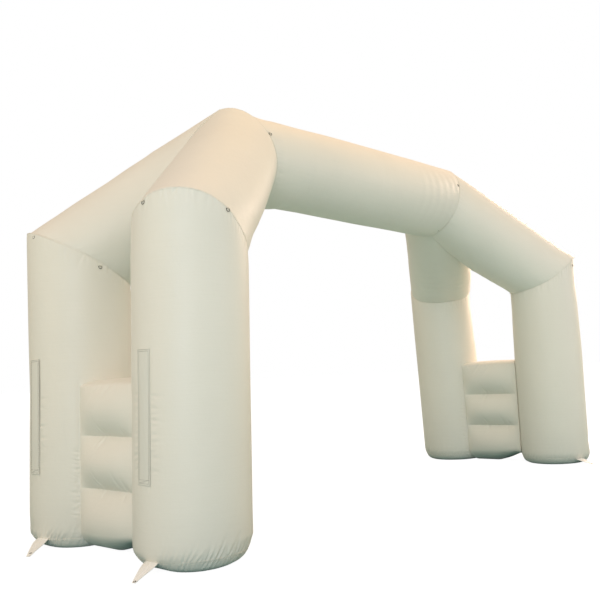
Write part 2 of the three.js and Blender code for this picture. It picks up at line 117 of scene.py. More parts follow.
# The cloth near the foot: height above the ground and how far inside the tube's radius it runs
FOOT_PROFILE = table(
    "height inside",
    (0.0, 0.112), (0.01, 0.084), (0.026, 0.058), (0.045, 0.041), (0.066, 0.029), (0.09, 0.019),
    (0.118, 0.008), (0.15, 0.002), (0.2, 0.0))
# How much further in the foot is drawn than that, round each leg
FOOT_TUCK = {
    "front_left": table(
        "azimuth share",
        (-172, 1.9), (-160, 1.45), (-148, 1.1), (-120, 0.88), (-90, 1.0), (-62, 1.3), (-30, 1.3), (90, 1.1),
        (150, 1.8)),
    "back_left": table(
        "azimuth share",
        (-175, 1.3), (-150, 0.9), (-118, 0.62), (-40, 1.0), (90, 1.1), (155, 1.8)),
    "front_right": table(
        "azimuth share",
        (-90, 1.0), (90, 1.0)),
    "back_right": table(
        "azimuth share",
        (-90, 1.0), (90, 1.0)),
}
# How deep the gathers at the foot and the puckers at the shoulder are round each leg, as a share of their
# depth
GATHERS = {
    "front_left": table(
        "azimuth share",
        (-180, 0.15), (-150, 0.35), (-125, 0.9), (-95, 1.0), (-60, 0.6), (60, 0.4)),
    "back_left": table(
        "azimuth share",
        (-165, 0.8), (-130, 0.4), (90, 0.5)),
    "front_right": table(
        "azimuth share",
        (-150, 0.3), (-90, 0.5), (90, 0.4)),
    "back_right": table(
        "azimuth share",
        (-150, 0.3), (-90, 0.4), (60, 0.5)),
}
SHOULDER_PUCKERS = {
    "front_left": table(
        "azimuth share",
        (-180, 0.5), (-150, 0.9), (-115, 0.8), (-90, 0.35), (-40, 0.9), (90, 0.4)),
    "back_left": table(
        "azimuth share",
        (-160, 0.25), (-110, 0.7), (-85, 0.9), (-30, 0.8), (90, 0.3)),
    "front_right": table(
        "azimuth share",
        (170, 0.6), (-140, 0.5), (-100, 0.9), (-60, 0.4), (60, 0.3)),
    "back_right": table(
        "azimuth share",
        (170, 0.6), (-150, 0.3), (-100, 0.7), (-30, 0.3), (60, 0.3)),
}

# Where a tube's cloth strays from its straight cylinder: the angle round it, the places along it in metres
# (heights, for a leg) and how far out the cloth stands there in millimetres
BULGES = {
    "leg_front_left": table(
        "angle at out",
        (-43, [0.13, 0.2, 0.4, 2.5, 2.8], [-6, 12, 9, 9, 0]), (141, [1.4, 1.6, 2.6, 2.8], [0, 11, 14, 8])),
    "leg_back_left": table(
        "angle at out",
        (152, [0.15, 0.3, 1.1, 1.46, 1.7, 1.95, 2.3, 2.61, 2.93], [-20, -13, -13, -17, -12, -7, 0, 7, 12]),
        (-31, [0.2, 1.4, 1.65, 2.1, 2.6, 2.9], [14, 16, 20, 30, 24, 14])),
    "leg_front_right": table(
        "angle at out",
        (-66, [0.2, 0.31, 0.43, 1.75, 2.2, 2.46, 2.71, 2.96], [-14, -20, -12, -10, -15, -18, -27, -20]),
        (118, [1.6, 1.79, 2.04, 2.29, 2.54, 2.8], [-8, -11, -11, -17, -17, -8])),
    "leg_back_right": table(
        "angle at out",
        (-58, [1.5, 1.84, 1.97, 2.24, 2.51, 2.66, 2.9], [-6, -12, -20, -27, -30, -24, -10])),
    "rafter_front_left": table(
        "angle at out",
        (119, [0.0, 0.2, 0.4, 0.64, 1.02, 1.5, 2.0], [0, 11, 22, 29, 29, 16, 0]),
        (5, [1.6, 2.0, 2.16], [0, 11, 18])),
    "rafter_back_left": table(
        "angle at out",
        (12, [-0.21, -0.11, 0.07, 0.3, 0.7, 0.96, 1.17, 1.28, 1.7, 1.9, 2.14],
         [-14, -10, -7, 0, 0, 11, 13, 20, 20, 21, 21])),
    "rafter_front_right": table(
        "angle at out",
        (-28, [0.0, 0.28, 0.5, 0.71, 0.93, 1.16, 1.37, 2.0], [7, 13, 14, 17, 14, 12, 11, 10]),
        (156, [0.4, 0.6, 0.87, 0.97, 1.3], [-14, 0, 13, 23, 8])),
    "rafter_back_right": table(
        "angle at out",
        (93, [0.7, 0.92, 1.1, 1.3, 1.6], [-14, -19, -16, -16, -4]), (-90, [0.1, 0.4, 0.9], [0, 18, 0])),
    "beam": table(
        "angle at out",
        (25, [0.0, 0.16, 0.29, 0.42, 0.52, 0.82, 1.3, 2.37, 2.9, 3.3, 4.1],
         [-12, -24, -25, -17, -15, -12, 0, 9, 12, 16, 16]),
        (-163, [0.3, 0.57, 0.7, 1.1, 1.6, 2.23, 2.72, 3.11, 3.33], [10, 16, -8, -11, 0, 10, 11, 16, 21])),
}
BULGE_REACH = 34                 # degrees round the tube

# Rows of small creases square to a seam: how far apart they are (None for the tubes' own setting), how far
# from the seam they reach, how wide they are, how they lean, and their depth as a share of the pucker depth
PUCKERS = named(
    "spacing reach width lean depth",
    shoulder=(None, 0.028, 0.012, 0.0, 1.8),
    foot=(0.031, 0.026, 0.0105, 0.5, 3.4),
    foot_panel=(0.031, 0.022, 0.0105, -0.5, 3.0),
    wall_join=(0.027, 0.015, 0.0085, 0.1, 1.7),
    flap=(0.030, 0.020, 0.0085, 0.0, 1.5),
    tube_end=(None, 0.03, 0.013, 0.0, 0.5),
    channel=(0.034, 0.018, 0.009, 0.1, 1.0),
)
FLAP_PUCKERS = (0.74, 1.44)      # the heights between which a flap's edges pucker the leg's cloth
WALL_JOIN_PUCKERS = (0.12, 0.95)     # the same, where an end wall's faces meet a leg
# Grooves beside what presses on a leg: how deep, how far round they reach, and how soft their ends are
GROOVES = named("depth reach end", wall_join=(0.006, 0.018, 0.03), flap=(0.0045, 0.012, 0.01))
WALL_JOINS = [math.radians(122.7), math.radians(57.3)]   # where a wall's two faces meet the front left leg

# End walls: seams between the channels, and the half thickness of the wall
WALL_SEAMS = [0.0, 0.559, 1.043, WALL_HEIGHT]
WALL_SEAM_HALF = 0.226
WALL_BULGE = 0.120
WALL_END_HALF = 0.262            # where the wall meets the legs its face is nearly flat
WALL_ROUNDNESS = 0.80
WALL_LOFT = 0.90                 # below 1, the fullest part of a channel is below its middle
WALL_FOOT_EDGE = {"rise": 0.17, "half": 0.08}
WALL_TOP_EDGE = {"rise": 0.065, "half": 0.03}
WALL_LIFT = 0.125                # how far the bottom edge hangs clear of the ground beside the front leg
WALL_LIFT_FADE = 0.12            # the height over which that is mostly gone
WALL_LIFTED = {"until": 0.55, "over": 0.45}   # the share of the span that is lifted, from the front leg
WALL_TOP_DIP = 0.010
WALL_FREE_HALF = 0.45
WALL_GAP = 0.002                 # beyond CLEARANCE, between a wall's ends and the legs
WALL_PINNED = 0.05               # the share of the span beside each leg in which a wall has less relief
WALL_PUCKER_DEPTH = 0.0045
WALL_PUCKER_END = 0.02           # from a wall's ends to where its puckers start

# Creases listed one by one on the walls: the seam each starts at (0 is the ground, 3 the top), whether it
# goes up (1) or down (-1) from there, its place along the free span from the front leg (0) to the back leg
# (1), its lean towards the back leg for each metre it runs, and its length, width and depth
WALL_CREASES = table(
    "seam way place lean length width depth",
    (3, -1, 0.93, -0.9, 0.07, 0.01, 0.0132), (3, -1, 0.62, 0.5, 0.13, 0.012, 0.0132),
    (3, -1, 0.54, 0.5, 0.1, 0.01, 0.0132), (3, -1, 0.38, 0.7, 0.15, 0.013, 0.0132),
    (3, -1, 0.27, 0.6, 0.12, 0.012, 0.011), (2, 1, 0.55, 0.45, 0.11, 0.01, 0.022),
    (2, 1, 0.61, 0.35, 0.08, 0.009, 0.0176), (2, 1, 0.47, 0.55, 0.07, 0.009, 0.0154),
    (2, 1, 0.22, 0.3, 0.06, 0.009, 0.011), (2, -1, 0.55, 0.45, 0.11, 0.01, 0.0198),
    (2, -1, 0.63, 0.35, 0.08, 0.009, 0.0176), (2, -1, 0.3, 0.25, 0.05, 0.009, 0.0088),
    (1, 1, 0.55, 0.5, 0.11, 0.01, 0.022), (1, 1, 0.62, 0.4, 0.08, 0.009, 0.0176),
    (1, 1, 0.25, 0.45, 0.1, 0.01, 0.022), (1, 1, 0.16, 0.4, 0.07, 0.009, 0.0176),
    (1, -1, 0.56, 0.4, 0.07, 0.01, 0.0198), (1, -1, 0.2, 0.2, 0.06, 0.009, 0.0154))

# Soft hoops round a tube, where its cloth is slack lengthwise: on the ridge tube from its middle, on its
# front, and on the rafters from the elbow, on their inner side
BEAM_HOOPS = table(
    "along depth width",
    (1.02, 0.0034, 0.05), (1.2, 0.004, 0.04), (1.38, 0.0048, 0.045), (1.56, 0.0042, 0.04),
    (1.72, 0.0054, 0.04), (1.86, 0.0048, 0.032), (0.2, 0.0012, 0.06), (-1.2, 0.0014, 0.05),
    (-1.75, 0.0018, 0.04))
RAFTER_HOOPS = {
    "back_right": table(
        "along depth width",
        (0.26, 0.008, 0.03), (0.36, 0.0085, 0.026), (0.47, 0.007, 0.028), (0.6, 0.006, 0.034),
        (0.74, 0.0045, 0.036)),
}
PLAIN_RAFTER_HOOPS = table("along depth width", (0.30, 0.002, 0.03), (0.42, 0.0016, 0.03))

# The outer flap of each leg, centred on its outward side
FLAP_HALF_ANGLE = math.radians(9.3)
FLAP_BOTTOM = 0.675
FLAP_TOP = 1.775
FLAP_GROOVE_END = 0.56           # how far above and below its middle the grooves beside a flap run
FLAP_SUNK = 0.003                # how far inside the tube's radius a flap may follow the cloth
FLAP_SEWN_EDGE = 0.004           # from an edge of a hem to the stitches along it
FOOT_HEM = 2.3                   # the height of a flap's bottom hem, in plain hems

# Anchor tabs: where each is sewn on, and how far its point runs past the eyelet
ANCHOR_TABS = named(
    "azimuth past_eyelet",
    front_left=(-174, 0.018), back_left=(-170, 0.062), front_right=(-110, 0.022), back_right=(10, 0.022))
TAB_ROOT_HEIGHT = 0.082
TAB_ROOT_PROUD = 0.0015          # how far a tab's sewn edge stands off the foot
TAB_HALF_WIDTH = 0.076
TAB_TIP_HALF_WIDTH = 0.015
TAB_THICKNESS = 0.0022
TAB_FOLD = {"height": 0.009, "until": 0.68}   # along a tab's middle, as far as this share of the tab
TAB_WAVES = 0.0026
TAB_CREASE = {"depth": 0.004, "place": 0.25, "width": 0.12}
TAB_HOLD = 0.12                  # the share of a tab that still bends round the leg
EYELET = {"bore": 0.0055, "flange": 0.012, "lip": 0.0012, "neck": 0.0072}
EYELET_STEPS = 7

# D-rings on webbing loops: on a leg by azimuth, on the ridge tube by the angle from its top towards -Y
LEG_RINGS = [
    ("front_left", 180), ("front_left", -90), ("back_left", 180), ("back_left", 160), ("back_left", -97),
    ("front_right", 0), ("front_right", -90), ("back_right", 0),
]
BEAM_RINGS = [("left", 70), ("left", 160), ("right", 70), ("right", 160)]
RING_HALF_WIDTH = 0.0175
RING_SHANK = 0.009
RING_CORNER = 0.0012             # how far the ends of a ring's bar are bent down
SEAM_TO_BAR = 0.030
CLOTH_BAND = table("inset drawn", (0.016, 0.005), (0.060, 0.0))
BAND_REACH = 0.027               # how far to each side a webbing loop holds the cloth in
STRAP = {"width": 0.024, "thickness": 0.003, "tail": 0.013, "bevel": 0.006, "edge": 0.0004}


# ---------------------------------------------------------------- colours, nodes and objects

def linear(code, alpha=1.0):
    """An sRGB hex value such as #C0FFEE as linear RGBA"""
    channels = [int(code[i:i + 2], 16) / 255 for i in (1, 3, 5)]
    return tuple(c / 12.92 if c <= 0.04045 else ((c + 0.055) / 1.055) ** 2.4 for c in channels) + (alpha,)


def add_node(tree, kind, links=None, **settings):
    """A node with its settings; `links` maps input names or numbers to a value, a socket, or a node, whose
    first output is taken"""
    node = tree.nodes.new(kind)
    for name, value in settings.items():
        setattr(node, name, value)
    for key, value in (links or {}).items():
        if isinstance(value, bpy.types.Node):
            value = value.outputs[0]
        if isinstance(value, bpy.types.NodeSocket):
            tree.links.new(value, node.inputs[key])
        else:
            node.inputs[key].default_value = value
    return node


def shading(owner):
    """Clears the nodes of a material or world and returns a maker of its shader nodes"""
    owner.use_nodes = True
    tree = owner.node_tree
    tree.nodes.clear()
    return lambda kind, links=None, **settings: add_node(tree, "ShaderNode" + kind, links, **settings)


def put(name, data):
    """An object of this data in the scene"""
    placed = bpy.data.objects.new(name, data)
    bpy.context.scene.collection.objects.link(placed)
    return placed


def line_curve(name, lines, closed, dimensions="3D"):
    """Points as a curve of straight-sided splines"""
    curve = bpy.data.curves.new(name, "CURVE")
    curve.dimensions = dimensions
    for line in lines:
        spline = curve.splines.new("POLY")
        spline.points.add(len(line) - 1)
        places = np.column_stack([line, np.ones(len(line))])
        spline.points.foreach_set("co", places.astype(np.float32).ravel())
        spline.use_cyclic_u = closed
    return curve


def plain_mesh(source):
    """The mesh that an object gives with its modifiers; the object itself is removed"""
    mesh = bpy.data.meshes.new_from_object(source.evaluated_get(bpy.context.evaluated_depsgraph_get()))
    source.modifiers.clear()
    bpy.data.objects.remove(source)
    return mesh


# ---------------------------------------------------------------- settings

def length(name, text, default, **more):
    return bpy.props.FloatProperty(name=name, description=text, default=default, unit="LENGTH", **more)


def colour(name, text, code):
    return bpy.props.FloatVectorProperty(
        name=name, description=text, subtype="COLOR", size=4, min=0, max=1, default=linear(code))


class ArchClothSettings(bpy.types.PropertyGroup):
    """Finish of the coated cloth and its trim"""
    cloth: colour("Cloth", "Colour of the coated cloth", "#EEE9DC")
    # The foot panels are a little darker than the cloth: painted shade at the feet
    foot: colour("Foot panel", "Colour of the panels that the legs stand on", "#E2E0D4")
    flap: colour("Flap", "Colour of the outer flaps", "#E6E3D7")
    # The tabs are lighter and whiter than the cloth: painted light from above
    tab: colour("Tab", "Colour of the anchor tabs", "#FFFDF6")
    thread: colour("Thread", "Colour of the stitching along the seams", "#E4DDCE")
    # Real stitching round the flaps, with a dark colour that is painted shadow along the flap's edges
    flap_thread: colour("Flap thread", "Colour of the stitching round the flaps", "#857F72")
    webbing: colour("Webbing", "Colour of the webbing loops", "#DAD3C2")
    steel: colour("Steel", "Colour of the plated rings and eyelets", "#625E57")
    roughness: bpy.props.FloatProperty(
        name="Roughness", description="Roughness of the coating", default=0.44, min=0, max=1)
    weave: length("Weave", "Spacing of the yarns under the coating", 0.0016)
    crinkle: length("Crinkle", "Height of the small crinkles in the coating", 0.0012)


class ArchTubeSettings(bpy.types.PropertyGroup):
    """Shape of the sewn tubes"""
    column_spacing: length("Column spacing", "Mesh spacing round a tube", 0.0129)
    near_column_spacing: length(
        "Near column spacing", "Mesh spacing round the legs nearest the camera", 0.0096)
    row_spacing: length("Row spacing", "Mesh spacing along the far legs", 0.0175)
    near_row_spacing: length("Near row spacing", "Mesh spacing along the legs nearest the camera", 0.0115)
    seam_depth: length("Seam depth", "How far a seam draws the cloth in", 0.0040)
    pucker_depth: length("Pucker depth", "Depth of the small creases at a seam", 0.0052)
    pucker_spacing: length("Pucker spacing", "Distance between the small creases at a seam", 0.036)
    unevenness: length("Unevenness", "How far the cloth strays from a true cylinder", 0.0022)


class ArchTrimSettings(bpy.types.PropertyGroup):
    """Sizes of the sewn-on trim"""
    flap_thickness: length("Flap thickness", "Thickness of the flap's cloth", 0.003)
    hem: length("Hem", "Width of a hem", 0.022)
    stitch_pitch: length("Stitch pitch", "Distance from one stitch to the next", 0.018)
    stitch_length: length("Stitch length", "Length of a stitch", 0.012)
    thread_radius: length("Thread radius", "Radius of the sewing thread", 0.0015)
    wire_radius: length("Wire radius", "Radius of a D-ring's wire", 0.0025)


class ArchStageSettings(bpy.types.PropertyGroup):
    """Camera, floor and light"""
    eye: bpy.props.FloatVectorProperty(
        name="Eye", description="The camera's place from the middle of the arch", subtype="TRANSLATION",
        unit="LENGTH", default=(-7.696, -6.105, 1.523))
    lens: bpy.props.FloatProperty(name="Lens", description="Focal length in millimetres", default=45.82)
    heading: bpy.props.FloatProperty(
        name="Heading", description="Turn from +Y towards +X", subtype="ANGLE", default=0.82585)
    pitch: bpy.props.FloatProperty(name="Pitch", description="Tilt upwards", subtype="ANGLE", default=0.09565)
    roll: bpy.props.FloatProperty(
        name="Roll", description="Turn about the view", subtype="ANGLE", default=-0.05198)
    floor: colour("Floor", "Colour of the floor", "#F4F4F2")
    floor_size: length("Floor size", "Side of the floor", 400.0)


# ---------------------------------------------------------------- tubes as numbers

def unit(vector):
    return vector / np.linalg.norm(vector)


class Tube:
    """A tube's straight axis and the directions across it; angle 0 is along `zero`"""

    def __init__(self, start, end, zero):
        self.start = MIDDLE + start
        self.length = float(np.linalg.norm(end - start))
        self.along = unit(end - start)
        self.across = unit(zero - self.along * zero.dot(self.along))
        self.side = np.cross(self.along, self.across)

    def radial(self, angle):
        return np.cos(angle)[..., None] * self.across + np.sin(angle)[..., None] * self.side

    def place(self, angle, radius, distance):
        angle, radius, distance = np.broadcast_arrays(angle, radius, distance)
        return self.start + self.radial(angle) * radius[..., None] + self.along * distance[..., None]

    def reach(self, plane, angle, radius):
        """How far along the axis the line at this angle and radius meets a plane"""
        point, normal = plane
        origin = self.start + self.radial(angle) * np.asarray(radius)[..., None]
        return (point - origin).dot(normal) / self.along.dot(normal)

    def unwrap(self, points):
        """Angle, radius and distance along the axis of points in space"""
        offset = points - self.start
        distance = offset.dot(self.along)
        x = offset.dot(self.across)
        y = offset.dot(self.side)
        return np.arctan2(y, x), np.hypot(x, y), distance


def signed(corner, size):
    sign_x, sign_y = CORNERS[corner]
    return np.array([sign_x * size[0], sign_y * size[1], size[2]])


def leg_tube(corner):
    return Tube(signed(corner, LEG_FOOT), signed(corner, LEG_TOP), X_AXIS)


def crown(side):
    return np.array([side * CROWN_X, 0.0, BEAM_HEIGHT])


def rafter_tube(corner):
    return Tube(signed(corner, LEG_TOP), crown(CORNERS[corner][0]), UP)


def beam_tube():
    return Tube(crown(-1), crown(1), UP)


def mitre(point, before, after):
    """The plane that halves the bend between two tubes"""
    return MIDDLE + point, unit(before + after)


def shoulder_plane(corner):
    return mitre(signed(corner, LEG_TOP), leg_tube(corner).along, rafter_tube(corner).along)


def crown_plane(corner):
    side = CORNERS[corner][0]
    return mitre(crown(side), rafter_tube(corner).along, -side * X_AXIS)


def turned(angle):
    """An angle brought to between minus and plus half a turn"""
    return (angle + math.pi) % FULL_TURN - math.pi


def round_profile(rows, angle, blur=7.0):
    """A table's second column round a tube, eased between its rows"""
    name = next(key for key in rows[0] if key != "azimuth")
    known = sorted((row["azimuth"] % 360, row[name]) for row in rows)
    values = np.interp(np.arange(360), *zip(*known), period=360)
    kernel = np.exp(-0.5 * (np.arange(-30, 31) / blur) ** 2)
    smooth = np.convolve(np.tile(values, 3), kernel / kernel.sum(), "same")[360:721]
    return np.interp(np.degrees(angle) % 360, np.arange(361), smooth)


def column_angles(planes, tube, spacing):
    """Even angles round a tube, the nearest ones moved onto the crease where two end planes meet"""
    count = round(FULL_TURN * TUBE_RADIUS / spacing)
    angles = np.arange(count) * FULL_TURN / count
    if len(planes) == 2:
        crease = np.cross(planes[0][1], planes[1][1])
        towards = math.atan2(crease.dot(tube.side), crease.dot(tube.across))
        for angle in (towards % FULL_TURN, (towards + math.pi) % FULL_TURN):
            angles[round(angle / FULL_TURN * count) % count] = angle
    return angles


def shoulder_curve(corner, depth):
    """The seam between a leg and its rafter, as points round the leg"""
    leg = leg_tube(corner)
    angle = np.linspace(-math.pi, math.pi, 720, endpoint=False)
    radius = TUBE_RADIUS - depth
    rise = round_profile(SHOULDER_SEAMS[corner], angle)
    return leg.place(angle, radius, leg.reach(shoulder_plane(corner), angle, radius) + rise)


def ring_from_curve(tube, curve, angles):
    """A seam's radius and distance along a tube at each of its columns"""
    angle, radius, distance = tube.unwrap(curve)
    order = np.argsort(angle)
    return (np.interp(angles, angle[order], radius[order], period=FULL_TURN),
            np.interp(angles, angle[order], distance[order], period=FULL_TURN))


# ---------------------------------------------------------------- creases as numbers

PUCKER_END = 7                   # a pucker has faded out this many reaches from its seam
FAINTEST_PUCKER = 0.02
SPAN_MARGIN = 0.05               # past the ends of a span, in which its last puckers still show


def pucker_rows(seed, count, lean, size=(0.25, 1.0), long=(0.6, 1.5)):
    """Uneven places, leans, sizes and lengths for a row of creases; places are from 0 to 1"""
    rng = np.random.default_rng(seed)
    places = (np.arange(count) + rng.uniform(-0.38, 0.38, count)) / count
    return zip(places, rng.normal(lean, 0.22, count), rng.uniform(*size, count), rng.uniform(*long, count))


def swell(share):
    """0 at a seam, 1 a little way from it, and fading after that"""
    return share * np.exp(1 - share)


def one_pucker(row, away, offset, long):
    return swell(away / (row["reach"] * long)) * np.exp(-(offset / row["width"]) ** 2)


def ring_puckers(seed, angle, away, kind, sizes, shares=None):
    """Creases square to a seam that runs round a tube, as a share of the pucker depth; `shares` is a table of
    how strong they are round it"""
    row = PUCKERS[kind]
    total = np.zeros(away.shape)
    near = away.min(axis=1) < PUCKER_END * row["reach"]
    count = round(FULL_TURN * TUBE_RADIUS / (row["spacing"] or sizes.pucker_spacing))
    for place, slope, size, long in pucker_rows(seed, count, row["lean"]):
        centre = place * FULL_TURN
        strength = size if shares is None else size * float(round_profile(shares, np.array(centre)))
        if strength < FAINTEST_PUCKER:
            continue
        offset = turned(angle[near] - centre) * TUBE_RADIUS - slope * away[near]
        total[near] -= strength * one_pucker(row, away[near], offset, long)
    return row["depth"] * total


def line_puckers(seed, along, away, span, kind):
    """Creases square to a straight seam that runs up the cloth; `away` is 0 on the seam"""
    row = PUCKERS[kind]
    total = np.zeros(away.shape)
    low, high = span
    near = (away > 0) & (away < PUCKER_END * row["reach"])
    near &= (along > low - SPAN_MARGIN) & (along < high + SPAN_MARGIN)
    count = max(1, round((high - low) / row["spacing"]))
    for place, slope, size, long in pucker_rows(seed, count, row["lean"]):
        offset = along[near] - (low + place * (high - low)) - slope * away[near]
        total[near] -= size * one_pucker(row, away[near], offset, long)
    return row["depth"] * total


def uneven(seed, angle, distance):
    """Slow waves in the cloth, between about -1 and 1"""
    rng = np.random.default_rng(seed)
    total = np.zeros(np.broadcast(angle, distance).shape)
    for turns in (1, 2, 3, 4, 6):
        for _ in range(2):
            phase = rng.uniform(0, FULL_TURN)
            climb = rng.uniform(-5.0, 5.0)
            total += np.sin(turns * angle + climb * distance + phase) / 4.5
    return total


def foot_inside(corner, angle, height):
    """How far inside the tube's radius the cloth runs near the ground, eased between the table's rows"""
    heights = [row["height"] for row in FOOT_PROFILE]
    fine = np.linspace(0, heights[-1], 400)
    values = np.interp(fine, heights, [row["inside"] for row in FOOT_PROFILE])
    eased = np.convolve(np.pad(values, 8, "edge"), np.ones(17) / 17, "valid")
    eased[:12] = values[:12]
    return np.interp(height, fine, eased) * round_profile(FOOT_TUCK[corner], angle)


def bulge(name, angle, along):
    """How far a tube's cloth stands out, as listed, at an angle and a place along it"""
    total = np.zeros(np.broadcast(angle, along).shape)
    for row in BULGES.get(name, []):
        out = np.interp(along, row["at"], np.array(row["out"]) / 1000)
        near = turned(angle - math.radians(row["angle"])) / math.radians(BULGE_REACH)
        total += out * np.exp(-near ** 2)
    return total


def mirrored(corner, angle):
    """An angle round a leg as it would be on the front left one: the arch's outside is at half a turn and
    its neighbour at a quarter turn"""
    sign_x, sign_y = CORNERS[corner]
    return np.arctan2(-sign_y * np.sin(angle), -sign_x * np.cos(angle))


def seed_of(corner):
    """Where a corner's random numbers start"""
    return 10 * list(CORNERS).index(corner)


def fading(past, softness):
    """1 well before a limit and 0 well past it"""
    return 1 / (1 + np.exp(past / softness))


def leg_relief(corner, angle, height, to_top, settings):
    """How far a leg's cloth stands out from its cylinder"""
    seed = seed_of(corner)
    depth = settings.pucker_depth
    like_front_left = mirrored(corner, angle)
    above_base = np.maximum(height - BASE_HEIGHT, 0)
    relief = depth * ring_puckers(seed, angle, to_top, "shoulder", settings, SHOULDER_PUCKERS[corner])
    relief += depth * ring_puckers(seed + 1, angle, above_base, "foot", settings, GATHERS[corner])
    relief += settings.unevenness * uneven(seed + 2, angle, height)
    groove = GROOVES["wall_join"]
    for number, (join, outwards) in enumerate(zip(WALL_JOINS, (1, -1))):
        away = outwards * turned(like_front_left - join) * TUBE_RADIUS
        relief += depth * line_puckers(seed + 3 + number, height, away, WALL_JOIN_PUCKERS, "wall_join")
        below_wall_top = fading(height - WALL_HEIGHT, groove["end"])
        relief -= groove["depth"] * np.exp(-np.abs(away) / groove["reach"]) * below_wall_top
    groove = GROOVES["flap"]
    from_middle = np.abs(height - (FLAP_BOTTOM + FLAP_TOP) / 2)
    for number, edge in enumerate((-1, 1)):
        away = (edge * turned(like_front_left - math.pi) - FLAP_HALF_ANGLE) * TUBE_RADIUS
        relief += depth * line_puckers(seed + 5 + number, height, away, FLAP_PUCKERS, "flap")
        beside = (away > -0.02) * fading(from_middle - FLAP_GROOVE_END, groove["end"])
        relief -= groove["depth"] * np.exp(-np.maximum(away, 0) / groove["reach"]) * beside
    return relief


def under_webbing(angle, away, rings, settings):
    """How much further than elsewhere the seam draws the cloth in under the webbing loops at these angles"""
    insets = [0.0] + [row["inset"] for row in CLOTH_BAND]
    drawn = [settings.seam_depth] + [row["drawn"] for row in CLOTH_BAND]
    extra = np.maximum(np.interp(away, insets, drawn) - settings.seam_depth * np.exp(-away / SEAM_REACH), 0)
    nearest = np.full(np.broadcast(angle, away).shape, math.inf)
    for ring in rings:
        nearest = np.minimum(nearest, np.abs(turned(angle - ring)) * TUBE_RADIUS)
    return extra * np.exp(-(nearest / BAND_REACH) ** 4)


def leg_radius(corner, angle, height, to_top, settings):
    rings = [math.radians(azimuth) for ringed, azimuth in LEG_RINGS if ringed == corner]
    drawn = settings.seam_depth * np.exp(-to_top / SEAM_REACH) + under_webbing(angle, to_top, rings, settings)
    clear_of_foot = np.clip((height - BASE_HEIGHT) / 0.1, 0, 1)
    stray = leg_relief(corner, angle, height, to_top, settings)
    stray += clear_of_foot * bulge(f"leg_{corner}", angle, height)
    return TUBE_RADIUS - foot_inside(corner, angle, height) - drawn + stray


# ---------------------------------------------------------------- meshes

def on_edges(mesh):
    """The two vertex numbers of each edge"""
    ends = np.empty(len(mesh.edges) * 2, np.int32)
    mesh.edges.foreach_get("vertices", ends)
    return ends.reshape(-1, 2)


def finished(name, mesh, sharp):
    """A smooth piece of this mesh, with sharp edges where `sharp` is true"""
    mesh.shade_smooth()
    mesh.attributes.new("sharp_edge", "BOOLEAN", "EDGE").data.foreach_set("value", sharp)
    return put(name, mesh)


def grid_mesh(name, points, across, up):
    """A closed skin through rows of points, each row a closed ring, shut flat at both ends.

    across and up are the cloth's own coordinates in metres, for its weave.
    """
    rows, columns = points.shape[:2]
    vertices = np.concatenate([points.reshape(-1, 3), points[:1].mean(axis=1), points[-1:].mean(axis=1)])
    r, c = np.meshgrid(np.arange(rows - 1), np.arange(columns), indexing="ij")
    nxt = (c + 1) % columns
    quads = np.stack([r * columns + c, r * columns + nxt, (r + 1) * columns + nxt, (r + 1) * columns + c], -1)
    quads = quads.reshape(-1, 4)
    ring = np.arange(columns)
    start = rows * columns
    last = start - columns
    lids = np.concatenate([
        np.stack([np.full(columns, start), (ring + 1) % columns, ring], -1),
        np.stack([np.full(columns, start + 1), last + ring, last + (ring + 1) % columns], -1),
    ])
    a, b, d = (points[rows // 2, 0], points[rows // 2, 1], points[rows // 2 + 1, 0])
    outwards = a - points[rows // 2].mean(axis=0)
    if np.cross(b - a, d - a).dot(outwards) < 0:
        quads, lids = quads[:, ::-1], lids[:, ::-1]
    mesh = bpy.data.meshes.new(name)
    mesh.vertices.add(len(vertices))
    mesh.vertices.foreach_set("co", vertices.astype(np.float32).ravel())
    loops = np.concatenate([quads.ravel(), lids.ravel()])
    mesh.loops.add(len(loops))
    mesh.loops.foreach_set("vertex_index", loops.astype(np.int32))
    starts = np.concatenate([np.arange(len(quads)) * 4, len(quads) * 4 + np.arange(len(lids)) * 3])
    mesh.polygons.add(len(starts))
    mesh.polygons.foreach_set("loop_start", starts.astype(np.int32))
    mesh.update(calc_edges=True)
    wrapped = np.concatenate([across, across[:, :1] + FULL_TURN * TUBE_RADIUS], axis=1)
    upward = np.concatenate([up, up[:, :1]], axis=1)
    column = quads % columns
    row = quads // columns
    over = (column == 0) & (column.max(axis=1, keepdims=True) == columns - 1)
    column = np.where(over, columns, column)
    weave = np.stack([wrapped[row, column], upward[row, column]], -1).reshape(-1, 2)
    weave = np.concatenate([weave, np.zeros((lids.size, 2))])
    mesh.uv_layers.new(name="weave").data.foreach_set("uv", weave.astype(np.float32).ravel())
    mesh.validate()
    edges = on_edges(mesh)
    sharp = (edges < columns).all(axis=1) | ((edges >= last) & (edges < start)).all(axis=1)
    return finished(name, mesh, sharp)


